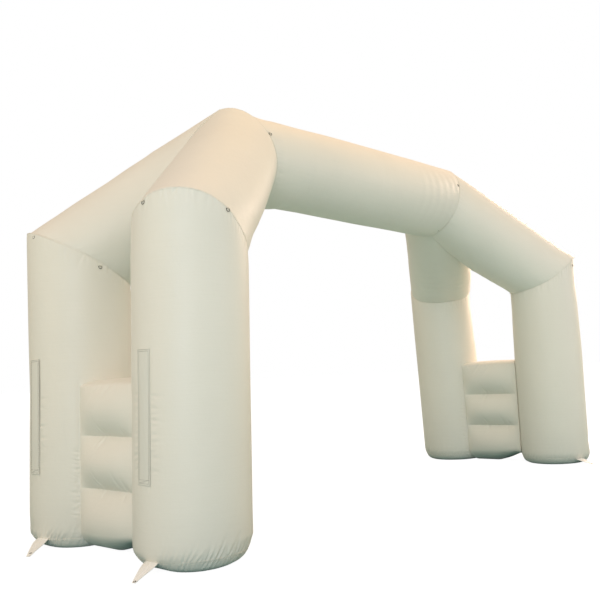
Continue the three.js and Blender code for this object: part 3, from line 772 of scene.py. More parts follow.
def sheet_mesh(name, front, back):
    """A closed thin sheet between two matching grids of points"""
    rows, columns = front.shape[:2]
    behind = rows * columns
    top = behind - columns
    faces = []
    for r in range(rows - 1):
        for i in range(r * columns, r * columns + columns - 1):
            faces.append([i, i + 1, i + columns + 1, i + columns])
    faces += [[behind + face[k] for k in (0, 3, 2, 1)] for face in faces]
    for i in range(columns - 1):
        faces.append([i + 1, i, behind + i, behind + i + 1])
        faces.append([top + i, top + i + 1, behind + top + i + 1, behind + top + i])
    for low in range(0, top, columns):
        high = low + columns
        faces.append([low, high, behind + high, behind + low])
        right = [high + columns - 1, high - 1]
        faces.append(right + [behind + right[1], behind + right[0]])
    mesh = bpy.data.meshes.new(name)
    mesh.from_pydata(np.concatenate([front.reshape(-1, 3), back.reshape(-1, 3)]).tolist(), [], faces)
    outward = (front - back).mean(axis=(0, 1))
    mesh.update()
    if Vector(outward).dot(mesh.polygons[0].normal) < 0:
        mesh.flip_normals()
    along = np.linalg.norm(np.diff(front, axis=0), axis=-1).mean(axis=1).cumsum()
    over = np.linalg.norm(np.diff(front, axis=1), axis=-1).mean(axis=0).cumsum()
    u = np.tile(np.append(0, over), rows)
    v = np.repeat(np.append(0, along), columns)
    place = np.tile(np.stack([u, v], -1), (2, 1))
    index = np.empty(len(mesh.loops), np.int32)
    mesh.loops.foreach_get("vertex_index", index)
    mesh.uv_layers.new(name="weave").data.foreach_set("uv", place[index].astype(np.float32).ravel())
    edges = on_edges(mesh) % behind
    column = edges % columns
    on_rim = (column == 0) | (column == columns - 1) | (edges < columns) | (edges >= top)
    return finished(name, mesh, on_rim.all(axis=1))


def dress(piece, material, slot, *nodes):
    """Gives a finished piece its material, hangs it from the body and hides the frame's parts that it stands
    for
    """
    if material.name not in piece.data.materials:
        piece.data.materials.append(material)
    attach(piece, BODY)
    if nodes:
        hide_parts(*nodes)


# ---------------------------------------------------------------- finishes

def coated_polyester(node, tint, settings):
    """Woven polyester with a thin satin coating: an even cream, darkened towards the ground by painted shade,
    with a soft, broad shine, a faint weave up close and shallow crinkles that break the shine up"""
    place = node("TexCoord")
    here = place.outputs["Object"]
    broad = node("TexNoise", {"Vector": here, "Scale": 1.3, "Detail": 3.0})
    mottle = node("MapRange", {
        "Value": broad, "From Min": 0.3, "From Max": 0.7, "To Min": 0.965, "To Max": 1.0})
    height = node("SeparateXYZ", {"Vector": here}).outputs["Z"]
    # Darker towards the ground over the lowest half metre: painted shade at the feet
    painted_low_shade = node("MapRange", {
        "Value": height, "From Min": 0.0, "From Max": 0.5, "To Min": 0.955, "To Max": 1.0})
    shade = node("Math", {0: mottle, 1: painted_low_shade}, operation="MULTIPLY")
    dyed = node("VectorMath", {0: tint[:3], "Scale": shade}, operation="SCALE")

    # The weave is drawn from the cloth's own coordinates, warp up the tube and weft round it. Real yarns are
    # about half a millimetre apart and are drawn coarser, so that they show
    yarn_scale = math.pi / settings.weave
    yarns = node("Mapping", {"Vector": place.outputs["UV"], "Scale": (yarn_scale, yarn_scale, 1.0)})
    apart = node("SeparateXYZ", {"Vector": yarns})
    warp, weft = (node("Math", {0: apart.outputs[way]}, operation="SINE") for way in "XY")
    over = node("Math", {0: warp, 1: weft}, operation="MULTIPLY")
    weave = node("Bump", {"Height": over, "Strength": 0.25, "Distance": 0.00006})

    # Shallow crinkles of about 10 cm, with finer ones in them
    folds = node("TexNoise", {
        "Vector": here, "Scale": 9.0, "Detail": 4.0, "Roughness": 0.55, "Distortion": 0.4})
    crinkle = node("Bump", {
        "Height": folds, "Strength": 0.5, "Distance": 3 * settings.crinkle, "Normal": weave})

    # Faint level wrinkles, where the cloth is a little loose up and down
    flattened = node("Mapping", {"Vector": here, "Scale": (2.6, 2.6, 30.0)})
    levels = node("TexNoise", {"Vector": flattened, "Scale": 1.0, "Detail": 3.0, "Roughness": 0.6})
    wrinkles = node("Bump", {
        "Height": levels, "Strength": 0.5, "Distance": 2 * settings.crinkle, "Normal": crinkle})
    rough = node("MapRange", {
        "Value": folds, "From Min": 0.3, "From Max": 0.7,
        "To Min": settings.roughness - 0.04, "To Max": settings.roughness + 0.06})
    cloth = node("BsdfPrincipled", {
        "Base Color": dyed, "Roughness": rough, "IOR": 1.46, "Specular IOR Level": 0.45, "Sheen Weight": 0.12,
        "Sheen Roughness": 0.4, "Normal": wrinkles})
    node("OutputMaterial", {"Surface": cloth})


def woven_webbing(node, tint, _):
    """Heavy woven webbing: matt, with an uneven grain of about 2 mm, coarser than its real ribs so that it
    shows"""
    place = node("TexCoord").outputs["Object"]
    grain = node("TexNoise", {"Vector": place, "Scale": 420.0, "Detail": 2.0})
    bump = node("Bump", {"Height": grain, "Strength": 0.6, "Distance": 0.0006})
    worn = node("MapRange", {"Value": grain, "To Min": 0.82, "To Max": 1.0})
    dyed = node("VectorMath", {0: tint[:3], "Scale": worn}, operation="SCALE")
    webbing = node("BsdfPrincipled", {
        "Base Color": dyed, "Roughness": 0.85, "Sheen Weight": 0.2, "Normal": bump})
    node("OutputMaterial", {"Surface": webbing})


def plated_steel(node, tint, _):
    """Zinc-plated steel wire, dulled outdoors: a grey metal with a shine in patches of about 4 mm"""
    place = node("TexCoord").outputs["Object"]
    patches = node("TexNoise", {"Vector": place, "Scale": 260.0, "Detail": 3.0})
    dull = node("MapRange", {"Value": patches, "To Min": 0.28, "To Max": 0.5})
    steel = node("BsdfPrincipled", {"Base Color": tint, "Metallic": 1.0, "Roughness": dull})
    node("OutputMaterial", {"Surface": steel})


def twisted_thread(node, tint, _):
    """Polyester sewing thread: matt and darker than the cloth, with a twist of about 1 mm; round the flaps
    its dark colour is painted shadow
    """
    place = node("TexCoord").outputs["Object"]
    twist = node("TexNoise", {"Vector": place, "Scale": 900.0})
    bump = node("Bump", {"Height": twist, "Distance": 0.0004})
    thread = node("BsdfPrincipled", {"Base Color": tint, "Roughness": 0.7, "Normal": bump})
    node("OutputMaterial", {"Surface": thread})


FINISHES = named(
    "maker colour",
    coated_polyester=(coated_polyester, "cloth"),
    # The foot panels' darker colour is painted shade at the feet
    foot_polyester=(coated_polyester, "foot"),
    flap_polyester=(coated_polyester, "flap"),
    tab_polyester=(coated_polyester, "tab"),
    woven_webbing=(woven_webbing, "webbing"),
    plated_steel=(plated_steel, "steel"),
    seam_thread=(twisted_thread, "thread"),
    # The flap thread's dark colour is painted shadow along the flap's edges
    flap_thread=(twisted_thread, "flap_thread"),
)


def finish(name):
    """A finish by name, made the first time it is asked for"""
    if name not in bpy.data.materials:
        cloth = bpy.context.scene.arch_cloth
        row = FINISHES[name]
        row["maker"](shading(bpy.data.materials.new(name)), tuple(getattr(cloth, row["colour"])), cloth)
    return bpy.data.materials[name]


# ---------------------------------------------------------------- repeating things, by Geometry Nodes

def new_tree(name, sizes):
    """A Geometry Nodes tree with a geometry in and out and a number input for each name in `sizes`, the
    sockets of its inputs, and a maker of its nodes"""
    tree = bpy.data.node_groups.new(name, "GeometryNodeTree")
    tree.interface.new_socket("Geometry", in_out="INPUT", socket_type="NodeSocketGeometry")
    for size in sizes:
        tree.interface.new_socket(size, in_out="INPUT", socket_type="NodeSocketFloat")
    tree.interface.new_socket("Geometry", in_out="OUTPUT", socket_type="NodeSocketGeometry")

    def node(kind, links=None, **settings):
        return add_node(tree, "GeometryNode" + kind, links, **settings)

    return tree, tree.nodes.new("NodeGroupInput").outputs, node


def end_tree(tree, geometry, material):
    real = add_node(tree, "GeometryNodeRealizeInstances", {"Geometry": geometry})
    coated = add_node(tree, "GeometryNodeSetMaterial", {"Geometry": real, "Material": material})
    add_node(tree, "NodeGroupOutput", {"Geometry": coated})
    return tree


def stitch_tree(material):
    """Stitches set end to end along a curve"""
    tree, given, node = new_tree("Stitches", ["Pitch", "Length", "Radius"])
    marks = node("ResampleCurve", {"Curve": given["Geometry"], "Length": given["Pitch"]}, mode="LENGTH")
    stitch = node("MeshCylinder", {"Vertices": 4, "Radius": given["Radius"], "Depth": given["Length"]})
    way = node("InputTangent")
    turn = add_node(tree, "FunctionNodeAlignRotationToVector", {"Vector": way}, axis="Z")
    row = node("InstanceOnPoints", {"Points": marks, "Instance": stitch, "Rotation": turn})
    return end_tree(tree, row, material)


def wire_tree(material):
    """A round wire along a curve"""
    tree, given, node = new_tree("Wire", ["Radius"])
    section = node("CurvePrimitiveCircle", {"Resolution": 12, "Radius": given["Radius"]})
    wire = node("CurveToMesh", {"Curve": given["Geometry"], "Profile Curve": section})
    return end_tree(tree, node("SetShadeSmooth", {"Geometry": wire}), material)


def grown(name, curve, tree, **sizes):
    """A piece of the plain mesh that a tree makes from a curve"""
    source = put(curve.name + "_path", curve)
    modifier = source.modifiers.new("Grow", "NODES")
    modifier.node_group = tree
    sockets = {item.name: item.identifier for item in tree.interface.items_tree if item.in_out == "INPUT"}
    for key, value in sizes.items():
        modifier[sockets[key]] = value
    mesh = plain_mesh(source)
    mesh.name = name
    return put(name, mesh)


# ---------------------------------------------------------------- skins of the tubes and walls

SEAM_STEPS = np.array([0, 3, 7, 12, 18, 25, 33, 42, 52, 64, 78, 94, 112, 132, 155, 180]) / 1000
BASE_STEPS = np.array([0, 2, 5, 9, 14, 20, 27, 34, 42, 50, 58, 66, 73, 79, 84, 88, 90]) / 1000
RAFTER_ROW_SPACING = 0.03
FOOT_NOTCH = 0.004               # the foot seam's own small dip
FOOT_NOTCH_REACH = 0.007
FOOT_SLACK_HEIGHT = 0.03         # below this the gathers of a foot panel are pressed flatter
ELBOW_SPREAD = 0.9               # how far round a rafter its slack side reaches, in radians
BEAM_FRONT = {"angle": math.radians(85), "spread": 0.8}   # the side of the ridge tube with hoops


def skin(tube, angles, first, last, spacing, shape):
    """Rows of points between two end rings, each given as (radius, distance) at every column.

    shape gives the radius from the angle, the distance and the distances to both ends.
    """
    start = first[1] + SEAM_STEPS[:, None]
    end = last[1] - SEAM_STEPS[::-1, None]
    count = max(2, round(float((end[0] - start[-1]).mean()) / spacing))
    middle = start[-1] + (np.arange(1, count) / count)[:, None] * (end[0] - start[-1])
    distance = np.concatenate([start, middle, end])
    angles = np.broadcast_to(angles, distance.shape)
    radius = shape(angles, distance, distance - first[1], last[1] - distance)
    radius[0], radius[-1] = first[0], last[0]
    return tube.place(angles, radius, distance), angles * TUBE_RADIUS, distance


def foot_notch(height):
    return FOOT_NOTCH * np.exp(-np.abs(height - BASE_HEIGHT) / FOOT_NOTCH_REACH)


def level_ring(tube, angles, height, radius):
    plane = (np.array([0.0, 0.0, height]), UP)
    return radius, tube.reach(plane, angles, radius)


def seam_dip(sizes, away):
    return sizes.seam_depth * np.exp(-away / SEAM_REACH)


def is_near(corner):
    """Whether a leg stands at the end nearest the camera"""
    return CORNERS[corner][0] < 0


def leg_columns(corner, sizes):
    tube = leg_tube(corner)
    spacing = sizes.near_column_spacing if is_near(corner) else sizes.column_spacing
    return tube, column_angles([], tube, spacing)


def leg_skin(corner, sizes):
    tube, angles = leg_columns(corner, sizes)
    seam = TUBE_RADIUS - foot_inside(corner, angles, BASE_HEIGHT) - FOOT_NOTCH
    first = level_ring(tube, angles, BASE_HEIGHT + CLEARANCE / 2, seam)
    last = ring_from_curve(tube, shoulder_curve(corner, sizes.seam_depth), angles)
    last = (last[0], last[1] - CLEARANCE)

    def shape(angle, distance, from_start, to_end):
        height = tube.place(angle, TUBE_RADIUS, distance)[..., 2]
        return leg_radius(corner, angle, height, to_end, sizes) - foot_notch(height)

    spacing = sizes.near_row_spacing if is_near(corner) else sizes.row_spacing
    return skin(tube, angles, first, last, spacing, shape)


def base_skin(corner, sizes):
    tube, angles = leg_columns(corner, sizes)
    rows = []
    for height in BASE_STEPS:
        away = np.full((1, len(angles)), BASE_HEIGHT - height)
        seed = seed_of(corner) + 1
        gathers = ring_puckers(seed, angles[None], away, "foot_panel", sizes, GATHERS[corner])[0]
        slack = 0.5 + 0.5 * min(1.0, height / FOOT_SLACK_HEIGHT)
        radius = TUBE_RADIUS - foot_inside(corner, angles, height) - foot_notch(height)
        radius = radius + sizes.pucker_depth * slack * gathers
        level = max(height - CLEARANCE / 2, 0.0)
        rows.append(tube.place(angles, radius, level_ring(tube, angles, level, radius)[1]))
    points = np.array(rows)
    points[0, :, 2] = 0.0
    up = np.broadcast_to(BASE_STEPS[:, None], points.shape[:2])
    return points, np.broadcast_to(angles * TUBE_RADIUS, points.shape[:2]), up


def hoops_across(hoops, place):
    """Soft hoops round a tube, summed at places along it"""
    return sum(hoop["depth"] * np.exp(-((place - hoop["along"]) / hoop["width"]) ** 2) for hoop in hoops)


def side_share(angle, middle, spread):
    """1 on one side of a tube, fading round it"""
    return np.exp(-(turned(angle - middle) / spread) ** 2)


def rafter_skin(corner, sizes):
    tube = rafter_tube(corner)
    between = (MIDDLE, np.array([0.0, -CORNERS[corner][1], 0.0]))
    planes = [crown_plane(corner), between]
    angles = column_angles(planes, tube, sizes.column_spacing)
    first = ring_from_curve(tube, shoulder_curve(corner, sizes.seam_depth), angles)
    first = (first[0], first[1] + CLEARANCE)
    radius = np.full(angles.shape, TUBE_RADIUS - sizes.seam_depth)
    distance = np.minimum(*(tube.reach(plane, angles, radius) for plane in planes)) - CLEARANCE
    slack = first[0] + sizes.seam_depth - TUBE_RADIUS
    seed = 40 + seed_of(corner)
    hoops = RAFTER_HOOPS.get(corner, PLAIN_RAFTER_HOOPS)

    def shape(angle, along, from_start, to_end):
        ease = np.clip(from_start / ELBOW_REACH, 0, 1)
        result = TUBE_RADIUS + slack * (1 - ease ** 2 * (3 - 2 * ease))
        result += sizes.unevenness * uneven(seed, angle, along) + bulge(f"rafter_{corner}", angle, along)
        for number, away in enumerate((from_start, to_end)):
            result -= seam_dip(sizes, away)
            result += sizes.pucker_depth * ring_puckers(seed + 1 + number, angle, away, "tube_end", sizes)
        return result - side_share(angle, math.pi, ELBOW_SPREAD) * hoops_across(hoops, from_start)

    return skin(tube, angles, first, (radius, distance), RAFTER_ROW_SPACING, shape)


def beam_skin(sizes):
    tube = beam_tube()
    ends = {side: [crown_plane(f"front_{side}"), crown_plane(f"back_{side}")] for side in ("left", "right")}
    angles = column_angles(ends["left"], tube, sizes.column_spacing)
    radius = np.full(angles.shape, TUBE_RADIUS - sizes.seam_depth)
    first = np.maximum(*(tube.reach(plane, angles, radius) for plane in ends["left"])) + CLEARANCE
    last = np.minimum(*(tube.reach(plane, angles, radius) for plane in ends["right"])) - CLEARANCE

    def shape(angle, along, from_start, to_end):
        result = TUBE_RADIUS + sizes.unevenness * uneven(90, angle, along) + bulge("beam", angle, along)
        for seed, away, side in ((91, from_start, "left"), (92, to_end, "right")):
            rings = [math.radians(degrees) for end, degrees in BEAM_RINGS if end == side]
            result -= seam_dip(sizes, away) + under_webbing(angle, away, rings, sizes)
            result += sizes.pucker_depth * ring_puckers(seed, angle, away, "tube_end", sizes)
        front = side_share(angle, BEAM_FRONT["angle"], BEAM_FRONT["spread"])
        return result + front * hoops_across(BEAM_HOOPS, along - tube.length / 2)

    return skin(tube, angles, (radius, first), (radius, last), RAFTER_ROW_SPACING, shape)


def channel_share(height):
    """0 at a seam between two channels and 1 halfway up a channel"""
    seams = np.array(WALL_SEAMS)
    channel = np.clip(np.searchsorted(seams, height, side="right") - 1, 0, len(seams) - 2)
    low, high = seams[channel], seams[channel + 1]
    return np.sin(math.pi * np.clip((height - low) / (high - low), 0, 1) ** WALL_LOFT) ** WALL_ROUNDNESS


def wall_half(height, fullness):
    """Half the wall's thickness at a height, rounded off to its narrow bottom and top edges"""
    middle = WALL_SEAM_HALF + WALL_BULGE * channel_share(height)
    full = WALL_END_HALF + (middle - WALL_END_HALF) * fullness
    for edge, depth in ((WALL_FOOT_EDGE, height), (WALL_TOP_EDGE, WALL_HEIGHT - height)):
        rounding = np.sqrt(1 - (1 - np.clip(depth / edge["rise"], 0, 1)) ** 2)
        full = edge["half"] + (full - edge["half"]) * rounding
    return full


def wall_columns(spacing):
    """Evenly spaced columns round the wall's cross-section: the face each is on and its height"""
    heights = WALL_HEIGHT * (1 - np.cos(np.linspace(0, math.pi, 4000))) / 2
    half = wall_half(heights, 1.0)
    steps = np.append(0, np.hypot(np.diff(heights), np.diff(half)).cumsum())
    count = round(steps[-1] / spacing)
    one_face = np.interp(np.linspace(0, steps[-1], count), steps, heights)
    for seam in WALL_SEAMS[1:-1]:
        one_face[np.abs(one_face - seam).argmin()] = seam
    faces = np.concatenate([np.ones(count), -np.ones(count)])
    return faces, np.concatenate([one_face, one_face[::-1]])


def wall_relief(side, height, share, span):
    """How far a wall's cloth stands out from its plain channels; share runs across the free span"""
    relief = np.zeros(height.shape)
    for number, seam in enumerate(WALL_SEAMS):
        for way in (-1, 1):
            away = way * (height - seam)
            if not 0 < number < len(WALL_SEAMS) - 1:
                away = np.abs(away)
            seed = 200 + 10 * number + way + int(side > 0)
            ends = (WALL_PUCKER_END, span - WALL_PUCKER_END)
            relief += WALL_PUCKER_DEPTH * line_puckers(seed, share * span, away, ends, "channel")
    for crease in WALL_CREASES:
        away = crease["way"] * (height - WALL_SEAMS[crease["seam"]])
        offset = (share - crease["place"]) * span - crease["lean"] * away
        fade = swell(np.maximum(away, 0) / (0.4 * crease["length"]))
        relief -= crease["depth"] * fade * np.exp(-(offset / crease["width"]) ** 2)
    return relief


def wall_skin(side, spacing):
    """An end wall between its two legs, in rows from the front leg to the back one"""
    faces, heights = wall_columns(spacing)
    axis_x = LEG_TOP[0] + (LEG_FOOT[0] - LEG_TOP[0]) * (1 - heights / LEG_TOP[2])
    axis_y = LEG_FOOT[1] + (LEG_TOP[1] - LEG_FOOT[1]) * heights / LEG_TOP[2]
    rows = round(2 * WALL_FREE_HALF / spacing)
    shares = (1 - np.cos(np.linspace(0, math.pi, rows + 1))) / 2
    shares = 0.5 * shares + 0.5 * np.linspace(0, 1, rows + 1)
    share = np.broadcast_to(shares[:, None], (rows + 1, len(heights)))
    height = np.broadcast_to(heights, share.shape)
    radius = TUBE_RADIUS + CLEARANCE + WALL_GAP
    y = np.zeros(share.shape)
    for _ in range(3):
        nearness = np.clip(np.abs(y) / WALL_FREE_HALF, 0, 1)
        half = wall_half(height, 1 - nearness ** 3)
        end = axis_y - np.sqrt(np.maximum(radius ** 2 - half ** 2, 0))
        y = (2 * share - 1) * end
    pinned = np.clip(np.minimum(share, 1 - share) / WALL_PINNED, 0, 1)
    half = half + pinned * wall_relief(side, height, share, 2 * WALL_FREE_HALF)
    rise = np.clip((height - WALL_SEAMS[2]) / (WALL_HEIGHT - WALL_SEAMS[2]), 0, 1)
    z = height - WALL_TOP_DIP * nearness ** 2 * rise
    beside_front_leg = np.clip((WALL_LIFTED["until"] - share) / WALL_LIFTED["over"], 0, 1) ** 1.5
    z = z + WALL_LIFT * beside_front_leg * np.exp(-height / WALL_LIFT_FADE)
    x = side * (axis_x + faces * half)
    points = np.stack([x + MIDDLE[0], y + MIDDLE[1], z], -1)
    around = np.broadcast_to(np.arange(len(heights)) * spacing, share.shape)
    return points, around, y


# ---------------------------------------------------------------- trim

def on_flap_ground(corner, over, height, proud, tubes):
    """Points over the leg's cloth where a flap lies; over and height are the flap's own coordinates"""
    tube = leg_tube(corner)
    angle = (math.pi if is_near(corner) else 0.0) + over / TUBE_RADIUS
    ground = leg_radius(corner, angle, FLAP_BOTTOM + height, np.full(over.shape, 1.0), tubes)
    radius = np.maximum(ground, TUBE_RADIUS - FLAP_SUNK) + proud
    return tube.place(angle, radius, (FLAP_BOTTOM + height) / tube.along[2])


def flap_faces(corner, tubes, trim):
    """The outer and inner faces of a flap, laid on its leg: a hem all round and a slack middle"""
    half_width = FLAP_HALF_ANGLE * TUBE_RADIUS
    middle = half_width - 1.3 * trim.hem
    across = np.concatenate([
        np.linspace(-half_width, -middle, 7)[:-1], np.linspace(-middle, middle, 13),
        np.linspace(middle, half_width, 7)[1:]])
    tall = FLAP_TOP - FLAP_BOTTOM
    over, height = np.meshgrid(across, np.linspace(0, tall, 111))
    from_edge = np.minimum.reduce([half_width - np.abs(over), height, tall - height])
    in_hem = fading(from_edge - trim.hem, 0.0016)
    foot_hem = fading(height - FOOT_HEM * trim.hem, 0.002)
    slack = np.clip(from_edge / trim.hem - 1, 0, 1)
    waves = uneven(300 + list(CORNERS).index(corner), over * 60, height * 9)
    outer = CLEARANCE + trim.flap_thickness * (0.55 + 0.45 * in_hem + 0.25 * foot_hem)
    outer += slack * (0.0016 + 0.0011 * waves)
    return [on_flap_ground(corner, over, height, proud, tubes) for proud in (outer, CLEARANCE)]


def tab_faces(corner):
    """The upper and under faces of an anchor tab, from its sewn edge to its point on the ground"""
    tube = leg_tube(corner)
    tab = ANCHOR_TABS[corner]
    sewn = math.radians(tab["azimuth"])
    low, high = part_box(f"anchor_eyelet_{corner}")
    eyelet = np.array((low + high) / 2)
    radius = float(TUBE_RADIUS - foot_inside(corner, sewn, TAB_ROOT_HEIGHT)) + TAB_ROOT_PROUD
    root_distance = TAB_ROOT_HEIGHT / tube.along[2]
    root = tube.place(np.array(sewn), radius, root_distance)
    ahead = unit(eyelet - root)
    long = float(np.linalg.norm(eyelet - root)) + tab["past_eyelet"]
    sewn_edge = np.cross(UP, [math.cos(sewn), math.sin(sewn), 0.0])
    tip_side = unit(np.cross(UP, ahead))
    normal = unit(np.cross(ahead, tip_side))
    share = np.linspace(0, 1, 29)[:, None]
    place = np.linspace(-1, 1, 19)[None, :]
    half = TAB_HALF_WIDTH + (TAB_TIP_HALF_WIDTH - TAB_HALF_WIDTH) * share
    turn = np.minimum(1, 3 * share)[..., None]
    side = sewn_edge * (1 - turn) + tip_side * turn
    side = side / np.linalg.norm(side, axis=-1, keepdims=True)
    fold = TAB_FOLD["height"] * np.maximum(0, 1 - share / TAB_FOLD["until"])
    waves = uneven(330 + list(CORNERS).index(corner), place * 2.2, share * 1.6)
    crease = TAB_CREASE["depth"] * np.exp(-((place - TAB_CREASE["place"]) / TAB_CREASE["width"]) ** 2)
    calm = np.minimum(1, share * 6) * np.clip((0.86 - share) * 6, 0, 1)
    lift = fold * (0.5 - np.abs(place)) + calm * (TAB_WAVES * waves - crease)
    hem = TAB_THICKNESS * (0.5 + 0.35 * (np.abs(place) > 0.82))
    middle = root + ahead * (share * long)[..., None] + side * (place * half)[..., None]
    # Near its sewn edge the tab bends round the leg
    bent = tube.place(tube.unwrap(root)[0] + place * half / radius, radius, root_distance)
    hold = np.clip(1 - share / TAB_HOLD, 0, 1) ** 2
    for axis in (0, 1):
        middle[..., axis] += (bent[..., axis] - middle[..., axis]) * hold
    upper, under = (middle + normal * (lift + way * hem)[..., None] for way in (1, -1))
    return upper, under, eyelet, normal, long


def turned_ring(name, profile, centre, axis, around=48):
    """A closed profile of (radius, height) points turned about an axis"""
    first = unit(np.cross(axis, UP + 0.1 * X_AXIS))
    second = np.cross(axis, first)
    count = len(profile)
    vertices = []
    faces = []
    for i in range(around):
        turn = i * FULL_TURN / around
        spoke = first * math.cos(turn) + second * math.sin(turn)
        vertices += [tuple(centre + spoke * radius + axis * height) for radius, height in profile]
        here, there = i * count, (i + 1) % around * count
        for k in range(count):
            n = (k + 1) % count
            faces.append((here + k, there + k, there + n, here + n))
    mesh = bpy.data.meshes.new(name)
    mesh.from_pydata(vertices, [], faces)
    mesh.update()
    face = mesh.polygons[max(range(count), key=lambda k: profile[k][0])]
    if Vector(face.normal).dot(Vector(face.center) - Vector(centre)) < 0:
        mesh.flip_normals()
    mesh.shade_smooth()
    mesh.set_sharp_from_angle(angle=math.radians(50))
    return put(name, mesh)


def eyelet_profile():
    """A pressed eyelet in section: two rounded flanges that grip the cloth and a short neck between them"""
    bore, neck, flange, lip = (EYELET[key] for key in ("bore", "neck", "flange", "lip"))
    grip = TAB_THICKNESS / 2 + CLEARANCE
    middle = (bore + flange) / 2
    half = (flange - bore) / 2
    turns = [math.pi * i / EYELET_STEPS for i in range(EYELET_STEPS + 1)]
    low, high = ([(middle + way * half * math.cos(t), way * (grip + lip * math.sin(t))) for t in turns]
                 for way in (-1, 1))
    return low + [(flange, -grip), (neck, -grip), (neck, grip), (flange, grip)] + high


def ring_seats():
    """Where each D-ring sits: the cloth under its bar, the way out from it and the way up its webbing"""
    places = [(leg_tube(corner), shoulder_plane(corner), azimuth, 1) for corner, azimuth in LEG_RINGS]
    places += [(beam_tube(), crown_plane(f"front_{end}"), angle, -1 if end == "left" else 1)
               for end, angle in BEAM_RINGS]
    seats = []
    for number, (tube, plane, degrees, towards) in enumerate(places):
        angle = np.array(math.radians(degrees))
        ends = []
        for row in CLOTH_BAND:
            radius = TUBE_RADIUS - row["drawn"]
            ends.append(tube.place(angle, radius, tube.reach(plane, angle, radius) - towards * row["inset"]))
        upper, lower = ends
        rise = unit(upper - lower)
        radial = tube.radial(angle)
        outwards = unit(radial - rise * radial.dot(rise))
        bar = lower + rise * (CLOTH_BAND[1]["inset"] - SEAM_TO_BAR)
        if number >= len(LEG_RINGS):
            rise = np.cross(outwards, rise)
            rise *= np.sign(rise[2])
        seats.append((f"{number + 1:02d}", bar, outwards, rise))
    return seats


def ring_line(bar, outwards, rise, wire_radius):
    """A D-ring's centre line: a straight bar held by the webbing and a half circle hanging from it"""
    across = np.cross(rise, outwards)
    centre = bar + outwards * (2 * CLEARANCE + wire_radius + STRAP["thickness"] / 2)
    turns = np.linspace(0, math.pi, 33)
    xs = np.append(np.linspace(-RING_HALF_WIDTH, RING_HALF_WIDTH, 9), RING_HALF_WIDTH * np.cos(turns))
    ys = np.append(np.zeros(9), -RING_SHANK - RING_HALF_WIDTH * np.sin(turns))
    ys[[0, 8]] = -RING_CORNER
    return centre + xs[:, None] * across + ys[:, None] * rise


def strap_piece(label, bar, outwards, rise, wire_radius):
    """A loop of webbing: its tail lies on the cloth and its eye goes round the ring's bar"""
    across = np.cross(rise, outwards)
    thick = STRAP["thickness"]
    bore = wire_radius + CLEARANCE
    eye = bore + thick / 2
    middle = CLEARANCE + eye
    turns = np.linspace(-math.pi / 2, -1.5 * math.pi, 17)
    outline = [(STRAP["tail"], CLEARANCE)]
    outline += [(eye * math.cos(t), middle + eye * math.sin(t)) for t in turns]
    outline += [(STRAP["bevel"] * s, middle + eye - (middle + eye - CLEARANCE - thick) * (3 - 2 * s) * s * s)
                for s in (0.25, 0.5, 0.75, 1.0)]
    outline += [(STRAP["tail"] - 0.001, CLEARANCE + thick)]
    hole = [(bore * math.cos(t), middle + bore * math.sin(t)) for t in np.linspace(0, FULL_TURN, 25)[:-1]]
    flat = [np.pad(np.array(line), ((0, 0), (0, 1))) for line in (outline, hole)]
    curve = line_curve(f"ring_strap_{label}", flat, True, "2D")
    curve.fill_mode = "BOTH"
    curve.extrude = STRAP["width"] / 2 - STRAP["edge"]
    curve.bevel_depth = STRAP["edge"]
    curve.bevel_resolution = 1
    curve.offset = -STRAP["edge"]
    mesh = plain_mesh(put(curve.name, curve))
    basis = Matrix((rise, outwards, across)).transposed().to_4x4()
    mesh.transform(Matrix.Translation(Vector(bar)) @ basis)
    if basis.determinant() < 0:
        mesh.flip_normals()
    return put(f"webbing_loop_{label}", mesh)


# ---------------------------------------------------------------- stitching lines

THREAD_PROUD = 0.4               # how far a seam's thread stands off its cloth, in its own radii
FLAP_THREAD_PROUD = 1.05         # how far a flap's thread stands off the leg, in thicknesses of the flap
HEM_ROW = 2.1                    # the height of the Z of stitches across a flap's bottom hem, in plain hems


def seam_lines(tubes, trim):
    """Two rows of stitches beside every seam round a tube, by the rows of its skin that they lie on"""
    skins = [(beam_tube(), beam_skin(tubes)[0], (2, -3))]
    for corner in reversed(CORNERS):
        skins = [(leg_tube(corner), leg_skin(corner, tubes)[0], (2, -3)),
                 (rafter_tube(corner), rafter_skin(corner, tubes)[0], (2, -3)),
                 (leg_tube(corner), base_skin(corner, tubes)[0], (-4,))] + skins
    lines = []
    for tube, points, rows in skins:
        for line in (points[row] for row in rows):
            away = line - tube.start - (line - tube.start).dot(tube.along)[:, None] * tube.along
            away /= np.linalg.norm(away, axis=-1, keepdims=True)
            lines.append(line + THREAD_PROUD * trim.thread_radius * away)
    return lines


def flap_lines(tubes, trim):
    """Stitches along the outer and inner edges of each flap's hem, the inner ones from a Z across its foot;
    their dark thread is partly painted shadow along the flap's edges
    """
    lines = []
    proud = CLEARANCE + FLAP_THREAD_PROUD * trim.flap_thickness
    for corner in CORNERS:
        for inset in (FLAP_SEWN_EDGE, trim.hem - FLAP_SEWN_EDGE):
            wide = FLAP_HALF_ANGLE * TUBE_RADIUS - inset
            high = FLAP_TOP - FLAP_BOTTOM - inset
            outline = [(-wide, inset), (wide, inset), (wide, high), (-wide, high), (-wide, inset)]
            if inset > FLAP_SEWN_EDGE:
                outline = [(-wide, HEM_ROW * trim.hem), (wide, HEM_ROW * trim.hem)] + outline
            sides = [np.linspace(a, b, 60)[:-1] for a, b in zip(outline, outline[1:])]
            over, height = np.concatenate(sides).T[:, None]
            lines.append(on_flap_ground(corner, over, height, proud, tubes)[0])
    return lines


# ---------------------------------------------------------------- light

